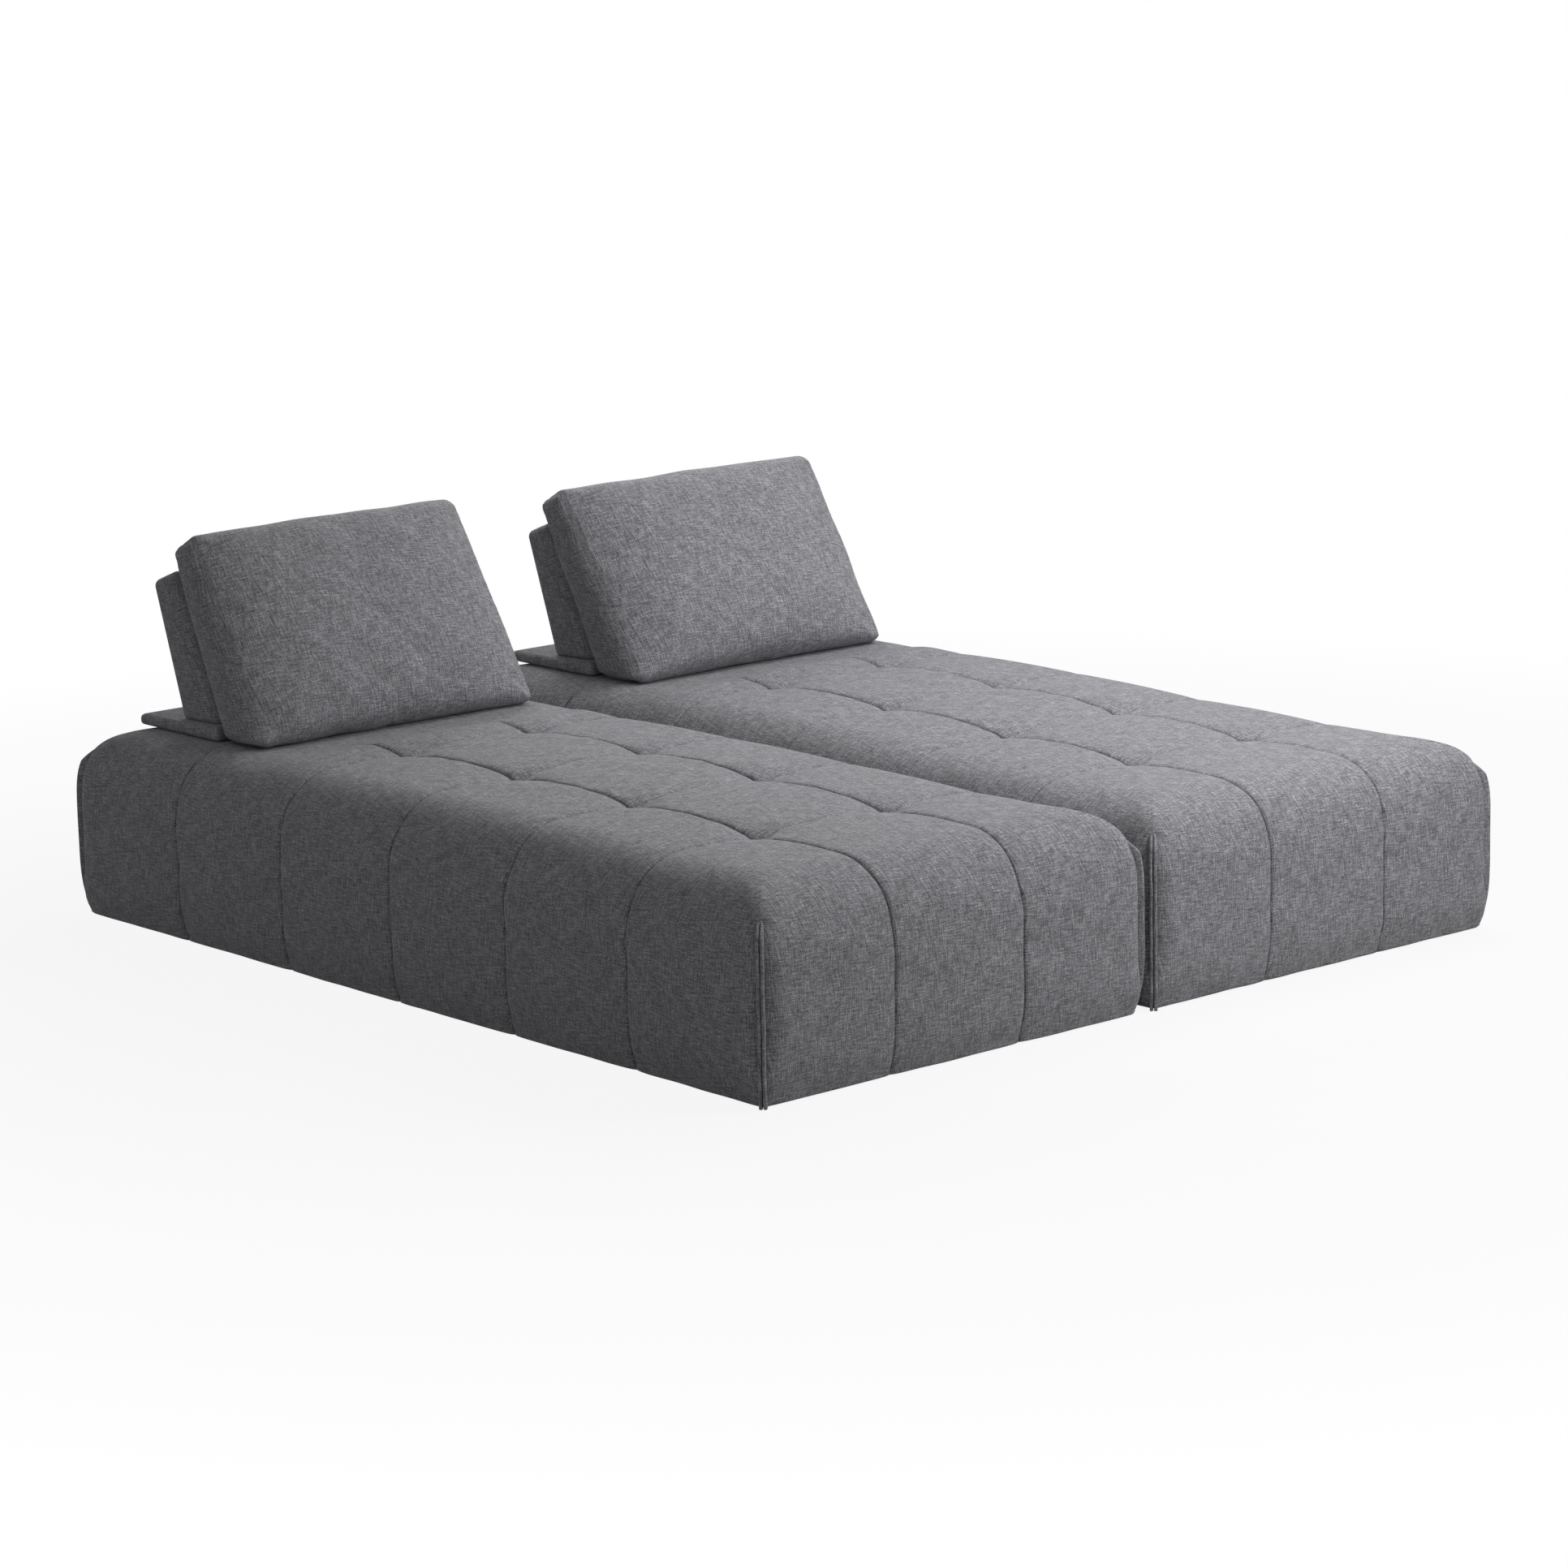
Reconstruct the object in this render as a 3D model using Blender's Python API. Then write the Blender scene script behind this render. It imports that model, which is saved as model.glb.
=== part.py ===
"""Modular sectional sofa: two long tufted seat modules standing side by side, each with a loose,
weighted backrest and a loose back cushion.

Units are metres, +Z up. X runs across the two modules, -Y is the foot end and +Y the backrest end.
The origin lies on the floor, below the middle of the pair. Each moving body hangs from an empty that
stands on its joint, and every piece is placed from that empty.
"""

import math

import bmesh
import bpy
import numpy as np

# General fits
FIT = 0.0003
OVERRUN = 0.02

# Seat module, outside sizes
MODULE_WIDTH = 1.0118
MODULE_LENGTH = 2.276
MODULE_GAP = 0.0032
SEAT_HEIGHT = 0.408

# Quilting of the seat cover
TUFT_COLUMNS = 2
TUFT_ROWS = 5
TUFT_PITCH_ACROSS = 0.3333
TUFT_PITCH_ALONG = 0.3726
LENGTH_SEAM_DEPTH = 0.004
CROSS_SEAM_DEPTH = 0.003
TUFT_DEPTH = 0.009
SIDE_SEAM_DEPTH = 0.005
PANEL_STATION_SHARES = (0.0, 0.12, 0.5, 0.88)

# Rounding of the seat cover
EDGE_REACH = 0.160
EDGE_DROP = 0.170
EDGE_POWER = 2.2
EDGE_STEPS = 3
BELLY_HEIGHT = 0.200
WALL_STATION_SHARES = (0.62, 0.28)
BOTTOM_TUCK = 0.028
TUCK_POWER = 2.4
HEM_ROLL = 0.020
HEM_HEIGHT = 0.008
CORNER_RADIUS = 0.040
CORNER_REACH = 0.160
CORNER_POWER = 3.1

# Flange sewn along each upright corner of the seat cover
FLANGE_THICKNESS = 0.012
FLANGE_ROOT = 0.020
FLANGE_TIP_INSET = 0.004
FLANGE_TOP = 0.356
FLANGE_BEVEL = 0.022
FLANGE_STATION_SHARES = (0.0, 0.08, 0.25, 0.6)

# Timber frame inside the seat
FRAME_INSET = 0.040
RAIL_THICKNESS = 0.045
RAIL_HEIGHT = 0.130
RAIL_BOTTOM = 0.030
CROSS_RAIL_THICKNESS = 0.030
CROSS_RAIL_DROP = 0.010
CROSS_RAIL_SPACING = 0.760

# Webbing, foam and dust cover
STRAP_WIDTH = 0.060
STRAP_THICKNESS = 0.003
STRAP_END_INSET = 0.008
STRAP_ROWS = 7
STRAP_COLUMNS = 3
WADDING_THICKNESS = 0.0444
FOAM_EDGE_RADIUS = 0.100
FOAM_EDGE_STEPS = 2
HEM_OPENING_INSET = 0.055
DUST_COVER_THICKNESS = 0.002

# Feet
FOOT_RADIUS = 0.018
FOOT_CHAMFER = 0.003
FOOT_MARGIN = 0.002
FOOT_SIDES = 12
FOOT_ROWS = 3

# Foot of the backrest
BASE_WIDTH = 0.740
BASE_DEPTH = 0.292
BASE_FRONT_HEIGHT = 0.030
BASE_REAR_HEIGHT = 0.017
BASE_EDGE_RADIUS = 0.007
BASE_CROWN = 0.002
BASE_SETBACK = 0.075
PLATE_WIDTH = 0.680
PLATE_DEPTH = 0.240
PLATE_THICKNESS = 0.008
MAT_THICKNESS = 0.002

# Upholstered panel of the backrest
PANEL_WIDTH = 0.700
PANEL_SETBACK = 0.0225
PANEL_BOTTOM_DEPTH = 0.1345
PANEL_FRONT_HEIGHT = 0.302
PANEL_REAR_HEIGHT = 0.278
PANEL_FRONT_LEAN = math.radians(26.0)
PANEL_REAR_LEAN = math.radians(18.5)
PANEL_EDGE_RADIUS = 0.018
PANEL_CROWN = 0.016
PANEL_COVER_THICKNESS = 0.012

# Board, uprights and bolts inside the panel
BOARD_WIDTH = 0.600
BOARD_HEIGHT = 0.240
BOARD_THICKNESS = 0.018
BOARD_LEAN = math.radians(22.0)
BOARD_SETBACK = 0.038
UPRIGHT_WIDTH = 0.040
UPRIGHT_THICKNESS = 0.006
UPRIGHT_HEIGHT = 0.190
UPRIGHT_SPACING = 0.400
BOLT_RADIUS = 0.004
BOLT_HEAD_RADIUS = 0.008
BOLT_HEAD_HEIGHT = 0.005
BOLT_HEIGHT = 0.140
BOLT_SIDES = 12

# Back cushion
CUSHION_WIDTH = 0.700
CUSHION_BOTTOM_DEPTH = 0.146
CUSHION_FRONT_HEIGHT = 0.427
CUSHION_REAR_HEIGHT = 0.390
CUSHION_FRONT_LEAN = math.radians(30.0)
CUSHION_EDGE_RADIUS = 0.030
CUSHION_FRONT_CROWN = 0.045
CUSHION_DRAWN_IN = 0.006
CUSHION_COVER_THICKNESS = 0.012
INSERT_CLEARANCE = 0.001
ZIP_LENGTH = 0.500
ZIP_WIDTH = 0.010
CROWN_POWER = 3.0

# Stations on soft boxes, as shares of a flat half side and of a round edge
FINE_FLAT_SHARES = (0.35, 0.72)
COARSE_FLAT_SHARES = (0.6,)
FINE_ARC_SHARES = (0.0, 0.5, 1.0)
COARSE_ARC_SHARES = (0.0, 1.0)


# Sizes that follow from the ones above

HALF_WIDTH = MODULE_WIDTH / 2
HALF_LENGTH = MODULE_LENGTH / 2
RAIL_TOP = RAIL_BOTTOM + RAIL_HEIGHT
WEBBING_TOP = RAIL_TOP + FIT + STRAP_THICKNESS
FOAM_BOTTOM = WEBBING_TOP + FIT
FOAM_TOP = SEAT_HEIGHT - WADDING_THICKNESS
BACKREST_BOTTOM = SEAT_HEIGHT + FIT
BASE_REAR = HALF_LENGTH - BASE_SETBACK
BASE_FRONT = BASE_REAR - BASE_DEPTH
PLATE_BOTTOM = MAT_THICKNESS + FIT
PLATE_TOP = PLATE_BOTTOM + PLATE_THICKNESS
PANEL_BOTTOM = BASE_FRONT_HEIGHT + BASE_CROWN + FIT


def finish(name, colour, roughness, metallic=0.0):
    """A Principled material in the part's own colour."""
    material = bpy.data.materials.new(name)
    material.use_nodes = True
    shader = material.node_tree.nodes["Principled BSDF"]
    shader.inputs["Base Color"].default_value = (*colour, 1.0)
    shader.inputs["Roughness"].default_value = roughness
    shader.inputs["Metallic"].default_value = metallic
    return material


def carrier(name, parent=None, at=(0.0, 0.0, 0.0)):
    """An empty that a body hangs from, at its joint."""
    empty = bpy.data.objects.new(name, None)
    bpy.context.scene.collection.objects.link(empty)
    empty.parent = parent
    empty.location = at
    return empty


def solid(name, points, faces, material, parent, at=(0.0, 0.0, 0.0)):
    """One closed piece made of points and faces, with its faces turned outwards."""
    mesh = bpy.data.meshes.new(name)
    mesh.from_pydata([tuple(map(float, point)) for point in points], [], faces)
    shape = bmesh.new()
    shape.from_mesh(mesh)
    bmesh.ops.recalc_face_normals(shape, faces=shape.faces)
    shape.to_mesh(mesh)
    shape.free()
    mesh.materials.append(material)
    piece = bpy.data.objects.new(name, mesh)
    bpy.context.scene.collection.objects.link(piece)
    piece.parent = parent
    piece.location = at
    return piece


def cut(piece, cutter, operation="DIFFERENCE"):
    """Takes the cutter's shape out of the piece, or joins it on, and hides the cutter."""
    cutter.hide_render = True
    cutter.display_type = "WIRE"
    boolean = piece.modifiers.new(cutter.name, "BOOLEAN")
    boolean.operation = operation
    boolean.solver = "EXACT"
    boolean.object = cutter


def smooth(piece, angle=math.radians(35.0)):
    """Shades a round piece smooth and leaves its real edges sharp."""
    piece.data.shade_smooth()
    piece.data.set_sharp_from_angle(angle=angle)


def box_shape(low, high):
    """Corners and faces of a box from its lowest to its highest corner."""
    xs, ys, zs = zip(low, high)
    points = [(x, y, z) for x in xs for y in ys for z in zs]
    faces = [(0, 1, 3, 2), (4, 6, 7, 5), (0, 4, 5, 1), (2, 3, 7, 6), (0, 2, 6, 4), (1, 5, 7, 3)]
    return points, faces


def prism_shape(profile, half_width, middle=0.0):
    """A profile in Y and Z drawn out along X to both sides of its middle."""
    count = len(profile)
    points = [(middle + side * half_width, y, z) for side in (-1, 1) for y, z in profile]
    faces = [tuple(range(count)), tuple(range(2 * count - 1, count - 1, -1))]
    faces += [(i, (i + 1) % count, count + (i + 1) % count, count + i) for i in range(count)]
    return points, faces


def turned_shape(rings, sides):
    """A turned piece about Z from (radius, height) pairs, closed at both ends."""
    points = [
        (radius * math.cos(math.tau * i / sides), radius * math.sin(math.tau * i / sides), height)
        for radius, height in rings
        for i in range(sides)
    ]
    faces = [tuple(range(sides)), tuple(range(len(points) - sides, len(points)))]
    for ring in range(len(rings) - 1):
        for i in range(sides):
            low, high = ring * sides, (ring + 1) * sides
            faces.append((low + i, low + (i + 1) % sides, high + (i + 1) % sides, high + i))
    return points, faces


def cells_shape(xs, ys, filled, bottom, top):
    """A flat sheet of rectangular cells, some of them left open, as one closed body."""
    index = {}
    points = []

    def corner(i, j, level):
        key = (i, j, level)
        if key not in index:
            index[key] = len(points)
            points.append((xs[i], ys[j], (bottom, top)[level]))
        return index[key]

    faces = []
    for i, j in zip(*np.nonzero(filled)):
        around = ((i, j), (i + 1, j), (i + 1, j + 1), (i, j + 1))
        faces.append(tuple(corner(*place, 1) for place in around))
        faces.append(tuple(corner(*place, 0) for place in reversed(around)))
        beside = ((i, j - 1), (i + 1, j), (i, j + 1), (i - 1, j))
        for side, (ni, nj) in enumerate(beside):
            inside = 0 <= ni < filled.shape[0] and 0 <= nj < filled.shape[1]
            if not (inside and filled[ni, nj]):
                start, end = around[side], around[(side + 1) % 4]
                faces.append((corner(*start, 0), corner(*end, 0), corner(*end, 1), corner(*start, 1)))
    return points, faces


def soft_stations(flat_shares, arc_shares, inner_share):
    """Stations from -1 to 1 across a soft box: shares of its flat part, then shares of its round edge."""
    half = [share * inner_share for share in flat_shares]
    half += [inner_share + share * (1 - inner_share) for share in arc_shares]
    return np.array([-value for value in reversed(half)] + [0.0] + half)


def padded_shape(half_width, corners, radius, crown, drawn_in, flat_shares, arc_shares):
    """A soft box: a rectangle in X, and in Y and Z a four-cornered profile given as front bottom, front
    top, rear top and rear bottom. Its edges are round, its front bulges by the crown, and its sides and
    top are drawn in between the corners."""
    front_bottom, front_top, rear_top, rear_bottom = (np.array(corner) for corner in corners)
    height = max(np.linalg.norm(front_top - front_bottom), np.linalg.norm(rear_top - rear_bottom))
    depth = (np.linalg.norm(front_bottom - rear_bottom) + np.linalg.norm(front_top - rear_top)) / 2
    half = np.array([half_width, depth / 2, height / 2])
    inner = 1 - radius / half
    stations = [
        soft_stations(flat_shares, arc_shares, inner[0]),
        soft_stations((), arc_shares, inner[1]),
        soft_stations(flat_shares, arc_shares, inner[2]),
    ]
    counts = [len(values) - 1 for values in stations]
    index, grid = {}, []
    for key in np.ndindex(*(count + 1 for count in counts)):
        if any(place in (0, count) for place, count in zip(key, counts)):
            index[key] = len(grid)
            grid.append([stations[axis][place] for axis, place in enumerate(key)])
    faces = []
    for axis in range(3):
        across, along = [other for other in range(3) if other != axis]
        for side in (0, counts[axis]):
            for i in range(counts[across]):
                for j in range(counts[along]):
                    key = [0, 0, 0]
                    face = []
                    for di, dj in ((0, 0), (1, 0), (1, 1), (0, 1)):
                        key[axis], key[across], key[along] = side, i + di, j + dj
                        face.append(index[tuple(key)])
                    faces.append(tuple(face))
    place = np.array(grid) * half
    core = np.clip(place, radius - half, half - radius)
    offset = place - core
    place = core + radius * offset / np.linalg.norm(offset, axis=1, keepdims=True)
    share = place / half
    across, forward, up = share[:, 0], -share[:, 1], share[:, 2]
    fullness = (1 - np.abs(across) ** CROWN_POWER) * (1 - np.abs(up) ** CROWN_POWER)
    fullness = np.clip(fullness, 0, 1) * np.clip(forward, 0, 1)
    side_pull = drawn_in * across * (1 - up**2)
    top_pull = drawn_in * np.clip(up, 0, 1) * (1 - across**2)
    front = front_bottom + (front_top - front_bottom) * (up[:, None] + 1) / 2
    rear = rear_bottom + (rear_top - rear_bottom) * (up[:, None] + 1) / 2
    flat = rear + (front - rear) * (forward[:, None] + 1) / 2
    rise = (front_top - front_bottom) / np.linalg.norm(front_top - front_bottom)
    outwards = np.array([-rise[1], rise[0]])
    flat = flat + outwards * (crown * fullness)[:, None] - rise * top_pull[:, None]
    points = np.column_stack([place[:, 0] - side_pull, flat])
    return points, faces


def inset_corners(corners, amount):
    """The same four-cornered profile with every side moved inwards by one amount."""
    result = []
    for i, corner in enumerate(corners):
        here = np.array(corner)
        before = here - np.array(corners[i - 1])
        after = np.array(corners[(i + 1) % len(corners)]) - here
        before, after = before / np.linalg.norm(before), after / np.linalg.norm(after)
        inwards_before = np.array([before[1], -before[0]])
        inwards_after = np.array([after[1], -after[0]])
        bisector = inwards_before + inwards_after
        result.append(tuple(here + bisector * amount / (1 + inwards_before @ inwards_after)))
    return result


def extended(corners, drop):
    """The same four-cornered profile with its two bottom corners slid down along their own sides."""
    front_bottom, front_top, rear_top, rear_bottom = (np.array(corner) for corner in corners)
    front_way = (front_bottom - front_top) / (front_top[1] - front_bottom[1])
    rear_way = (rear_bottom - rear_top) / (rear_top[1] - rear_bottom[1])
    front_bottom = front_bottom + front_way * drop
    rear_bottom = rear_bottom + rear_way * drop
    return [tuple(front_bottom), tuple(front_top), tuple(rear_top), tuple(rear_bottom)]


def seam_places(count, pitch):
    """Where the seams of one direction lie, evenly spaced about the middle."""
    return np.array([(k - (count - 1) / 2) * pitch for k in range(count)])


def valley(position, seams, pitch):
    """1 on a seam, falling to 0 half a pitch away from it."""
    distance = np.min(np.abs(np.asarray(position)[..., None] - seams), axis=-1)
    return 1 - np.sin(math.pi / 2 * np.minimum(distance / (pitch / 2), 1))


def panel_stations(seams, edge):
    """Stations across the sewn panels from edge to edge, each a (panel, share) pair made a position."""
    stops = [-edge, *seams, edge]
    places = []
    for start, end in zip(stops[:-1], stops[1:]):
        places += [start + share * (end - start) for share in PANEL_STATION_SHARES]
    return np.array([*places, edge])


def corner_fullness(distance):
    """1 at an upright corner of the seat cover, falling to 0 where its fuller corner ends."""
    return max(0.0, 1 - distance / CORNER_REACH) ** 2


def corner_inset(height):
    """How far an upright corner stands back over the belly: squarer than the edge between corners."""
    rise = min(1.0, max(0.0, 1 - (SEAT_HEIGHT - height) / EDGE_DROP))
    return EDGE_REACH * (1 - (1 - rise**CORNER_POWER) ** (1 / CORNER_POWER))


def wall_inset(height):
    """How far the wall of the seat cover stands back from its fullest line at a height."""
    return BOTTOM_TUCK * max(0.0, 1 - height / BELLY_HEIGHT) ** TUCK_POWER


def seat_levels():
    """The rings round the seat cover from its top to its hem, as (inset, height, outward, upward)."""
    levels = []
    for step in range(1, EDGE_STEPS + 1):
        turn = math.pi / 2 * step / EDGE_STEPS
        inset = EDGE_REACH * (1 - math.sin(turn) ** (2 / EDGE_POWER))
        drop = EDGE_DROP * (1 - math.cos(turn) ** (2 / EDGE_POWER)) if step < EDGE_STEPS else EDGE_DROP
        levels.append((inset, SEAT_HEIGHT - drop, math.sin(turn), math.cos(turn)))
    wall_top = SEAT_HEIGHT - EDGE_DROP
    roll_height = HEM_HEIGHT + HEM_ROLL
    for share in (*WALL_STATION_SHARES, 0.0):
        height = roll_height + share * (wall_top - roll_height)
        levels.append((wall_inset(height), height, 1.0, 0.0))
    levels.append((wall_inset(roll_height) + HEM_ROLL, HEM_HEIGHT, 0.0, 0.0))
    return levels


def seat_cover_shape():
    """The tufted outside of the seat: a quilted top, and rings that run over its edge down to the hem."""
    seams_x = seam_places(TUFT_COLUMNS, TUFT_PITCH_ACROSS)
    seams_y = seam_places(TUFT_ROWS, TUFT_PITCH_ALONG)
    xs = panel_stations(seams_x, HALF_WIDTH - EDGE_REACH)
    ys = panel_stations(seams_y, HALF_LENGTH - EDGE_REACH)
    index, points = {}, []
    for i, x in enumerate(xs):
        for j, y in enumerate(ys):
            across = valley(x, seams_x, TUFT_PITCH_ACROSS)
            along = valley(y, seams_y, TUFT_PITCH_ALONG)
            depth = LENGTH_SEAM_DEPTH * across**2 + CROSS_SEAM_DEPTH * along**2 + TUFT_DEPTH * across * along
            index[i, j] = len(points)
            points.append((x, y, SEAT_HEIGHT - depth))
    last_i, last_j = len(xs) - 1, len(ys) - 1
    faces = [
        (index[i, j], index[i + 1, j], index[i + 1, j + 1], index[i, j + 1])
        for i in range(last_i)
        for j in range(last_j)
    ]
    around = [(i, 0) for i in range(last_i)] + [(last_i, j) for j in range(last_j)]
    around += [(i, last_j) for i in range(last_i, 0, -1)] + [(0, j) for j in range(last_j, 0, -1)]
    ring = [index[place] for place in around]
    for inset, height, outward, upward in seat_levels():
        held = min(inset, corner_inset(height)) if upward > 0 else inset
        edge_x, edge_y = HALF_WIDTH - held, HALF_LENGTH - held
        level_x = panel_stations(seams_x, edge_x)
        level_y = panel_stations(seams_y, edge_y)
        corner_pull = CORNER_RADIUS * (1 - math.sqrt(0.5)) * outward
        new_ring = []
        for i, j in around:
            x, y = level_x[i], level_y[j]
            side_x = (i == last_i) - (i == 0)
            side_y = (j == last_j) - (j == 0)
            across = valley(x, seams_x, TUFT_PITCH_ACROSS) if side_y else 0.0
            along = valley(y, seams_y, TUFT_PITCH_ALONG) if side_x else 0.0
            groove = SIDE_SEAM_DEPTH * max(across, along) ** 2
            from_corner = edge_y - abs(y) if side_x else edge_x - abs(x)
            pull = groove * outward + (inset - held) * (1 - corner_fullness(from_corner))
            if side_x and side_y:
                pull = corner_pull
            new_ring.append(len(points))
            points.append((x - side_x * pull, y - side_y * pull, height - groove * upward))
        count = len(ring)
        faces += [
            (ring[k], ring[(k + 1) % count], new_ring[(k + 1) % count], new_ring[k]) for k in range(count)
        ]
        ring = new_ring
    faces.append(tuple(ring))
    return points, faces


def flange_shape(side_x, side_y):
    """The doubled flange on one upright corner, from the hem to its bevelled tip."""
    out = np.array([side_x, side_y]) * math.sqrt(0.5)
    along = np.array([-out[1], out[0]])
    bottom = HEM_HEIGHT + FIT
    heights = [bottom + share * (FLANGE_TOP - FLANGE_BEVEL - bottom) for share in FLANGE_STATION_SHARES]
    heights += [FLANGE_TOP - FLANGE_BEVEL, FLANGE_TOP]
    points = []
    for height in heights:
        inset = wall_inset(height)
        corner = np.array([side_x * (HALF_WIDTH - inset), side_y * (HALF_LENGTH - inset)])
        tip = corner - out * FLANGE_TIP_INSET
        root = tip - out * (FLANGE_ROOT + CORNER_RADIUS / 2)
        if height == heights[-1]:
            tip = tip - out * FLANGE_BEVEL
        for place in (root, tip):
            for way in (-1, 1):
                points.append((*(place + way * along * FLANGE_THICKNESS / 2), height))
    faces = [(0, 1, 3, 2), tuple(4 * (len(heights) - 1) + k for k in (0, 2, 3, 1))]
    for level in range(len(heights) - 1):
        low, high = 4 * level, 4 * (level + 1)
        for a, b in ((0, 1), (1, 3), (3, 2), (2, 0)):
            faces.append((low + a, low + b, high + b, high + a))
    return points, faces


def foam_shape(clearance, bottom):
    """The seat foam with its top edges rounded, or, with a clearance, the hollow that holds it."""
    shape = bmesh.new()
    half = (HALF_WIDTH - FRAME_INSET - FIT + clearance, HALF_LENGTH - FRAME_INSET - FIT + clearance)
    top = FOAM_TOP + clearance
    points, faces = box_shape((-half[0], -half[1], bottom), (half[0], half[1], top))
    corners = [shape.verts.new(point) for point in points]
    for face in faces:
        shape.faces.new([corners[k] for k in face])
    middle = (bottom + top) / 2
    upper = [edge for edge in shape.edges if min(vert.co.z for vert in edge.verts) > middle]
    bmesh.ops.bevel(
        shape,
        geom=upper,
        offset=FOAM_EDGE_RADIUS,
        offset_type="OFFSET",
        segments=FOAM_EDGE_STEPS,
        profile=0.5,
        affect="EDGES",
    )
    shape.verts.index_update()
    points = [tuple(vert.co) for vert in shape.verts]
    faces = [tuple(vert.index for vert in face.verts) for face in shape.faces]
    shape.free()
    return points, faces


def strap_places(count, width, reach):
    """Start and end of evenly spread straps between -reach and reach, the outer ones at the ends' gaps."""
    gap = (2 * reach - count * width) / (count + 1)
    starts = [-reach + gap + k * (gap + width) for k in range(count)]
    return [(start, start + width) for start in starts]


def webbing_shape():
    """Crossing elastic straps, fused where they cross, that lie on the top of the frame."""
    reach_x = HALF_WIDTH - FRAME_INSET - STRAP_END_INSET
    reach_y = HALF_LENGTH - FRAME_INSET - STRAP_END_INSET
    columns = strap_places(STRAP_COLUMNS, STRAP_WIDTH, reach_x)
    rows = strap_places(STRAP_ROWS, STRAP_WIDTH, reach_y)
    xs = [-reach_x, *(x for pair in columns for x in pair), reach_x]
    ys = [-reach_y, *(y for pair in rows for y in pair), reach_y]
    filled = np.zeros((len(xs) - 1, len(ys) - 1), bool)
    filled[1::2, :] = True
    filled[:, 1::2] = True
    return cells_shape(xs, ys, filled, RAIL_TOP + FIT, WEBBING_TOP)


def base_top(y):
    """Height of the flat top line of the backrest's foot at a distance y behind its front edge."""
    return BASE_FRONT_HEIGHT + (BASE_REAR_HEIGHT - BASE_FRONT_HEIGHT) * y / BASE_DEPTH


def leaning_slab(front, bottom, top, thickness, lean):
    """Profile of a board that leans back from its front bottom edge, cut level at its bottom and top."""
    depth = thickness / math.cos(lean)
    rise = math.tan(lean)
    front_top = front + rise * (top - bottom)
    return [(front, bottom), (front_top, top), (front_top + depth, top), (front + depth, bottom)]


def panel_corners():
    """The panel's profile before its crown, from the front edge of the backrest's foot."""
    front, rear = PANEL_SETBACK, PANEL_SETBACK + PANEL_BOTTOM_DEPTH
    bottom = base_top(rear) + BASE_CROWN + FIT
    return [
        (front, PANEL_BOTTOM),
        (front + math.tan(PANEL_FRONT_LEAN) * PANEL_FRONT_HEIGHT, PANEL_BOTTOM + PANEL_FRONT_HEIGHT),
        (rear + math.tan(PANEL_REAR_LEAN) * PANEL_REAR_HEIGHT, bottom + PANEL_REAR_HEIGHT),
        (rear, bottom),
    ]


def cushion_rear():
    """How far behind the foot's front edge the cushion's rear face meets the seat, clear of the panel."""
    reach = (PANEL_CROWN + FIT) / math.cos(PANEL_FRONT_LEAN)
    return PANEL_SETBACK - math.tan(PANEL_FRONT_LEAN) * PANEL_BOTTOM - reach


def cushion_corners():
    """The cushion's profile before its crown, from its own rear bottom edge."""
    front = -CUSHION_BOTTOM_DEPTH
    return [
        (front, 0.0),
        (front + math.tan(CUSHION_FRONT_LEAN) * CUSHION_FRONT_HEIGHT, CUSHION_FRONT_HEIGHT),
        (math.tan(PANEL_FRONT_LEAN) * CUSHION_REAR_HEIGHT, CUSHION_REAR_HEIGHT),
        (0.0, 0.0),
    ]


def make_finishes():
    """The sofa's materials, by the name of what they are."""
    return {
        "cover": finish("grey_woven_fabric", (0.16, 0.163, 0.17), 0.9),
        "foam": finish("seat_foam", (0.75, 0.68, 0.45), 0.95),
        "timber": finish("pine", (0.55, 0.38, 0.2), 0.7),
        "plywood": finish("birch_plywood", (0.6, 0.45, 0.27), 0.65),
        "webbing": finish("elastic_webbing", (0.05, 0.05, 0.05), 0.9),
        "lining": finish("black_non_woven", (0.02, 0.02, 0.02), 0.95),
        "plastic": finish("black_plastic", (0.015, 0.015, 0.015), 0.45),
        "steel": finish("mild_steel", (0.32, 0.32, 0.33), 0.4, 1.0),
        "bolt": finish("zinc_plated_steel", (0.6, 0.6, 0.6), 0.3, 1.0),
        "grip": finish("black_grip_rubber", (0.03, 0.03, 0.03), 0.85),
        "fibre": finish("cushion_fibre", (0.8, 0.79, 0.76), 0.95),
        "zip": finish("zip_tape", (0.1, 0.1, 0.105), 0.6),
    }


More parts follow.
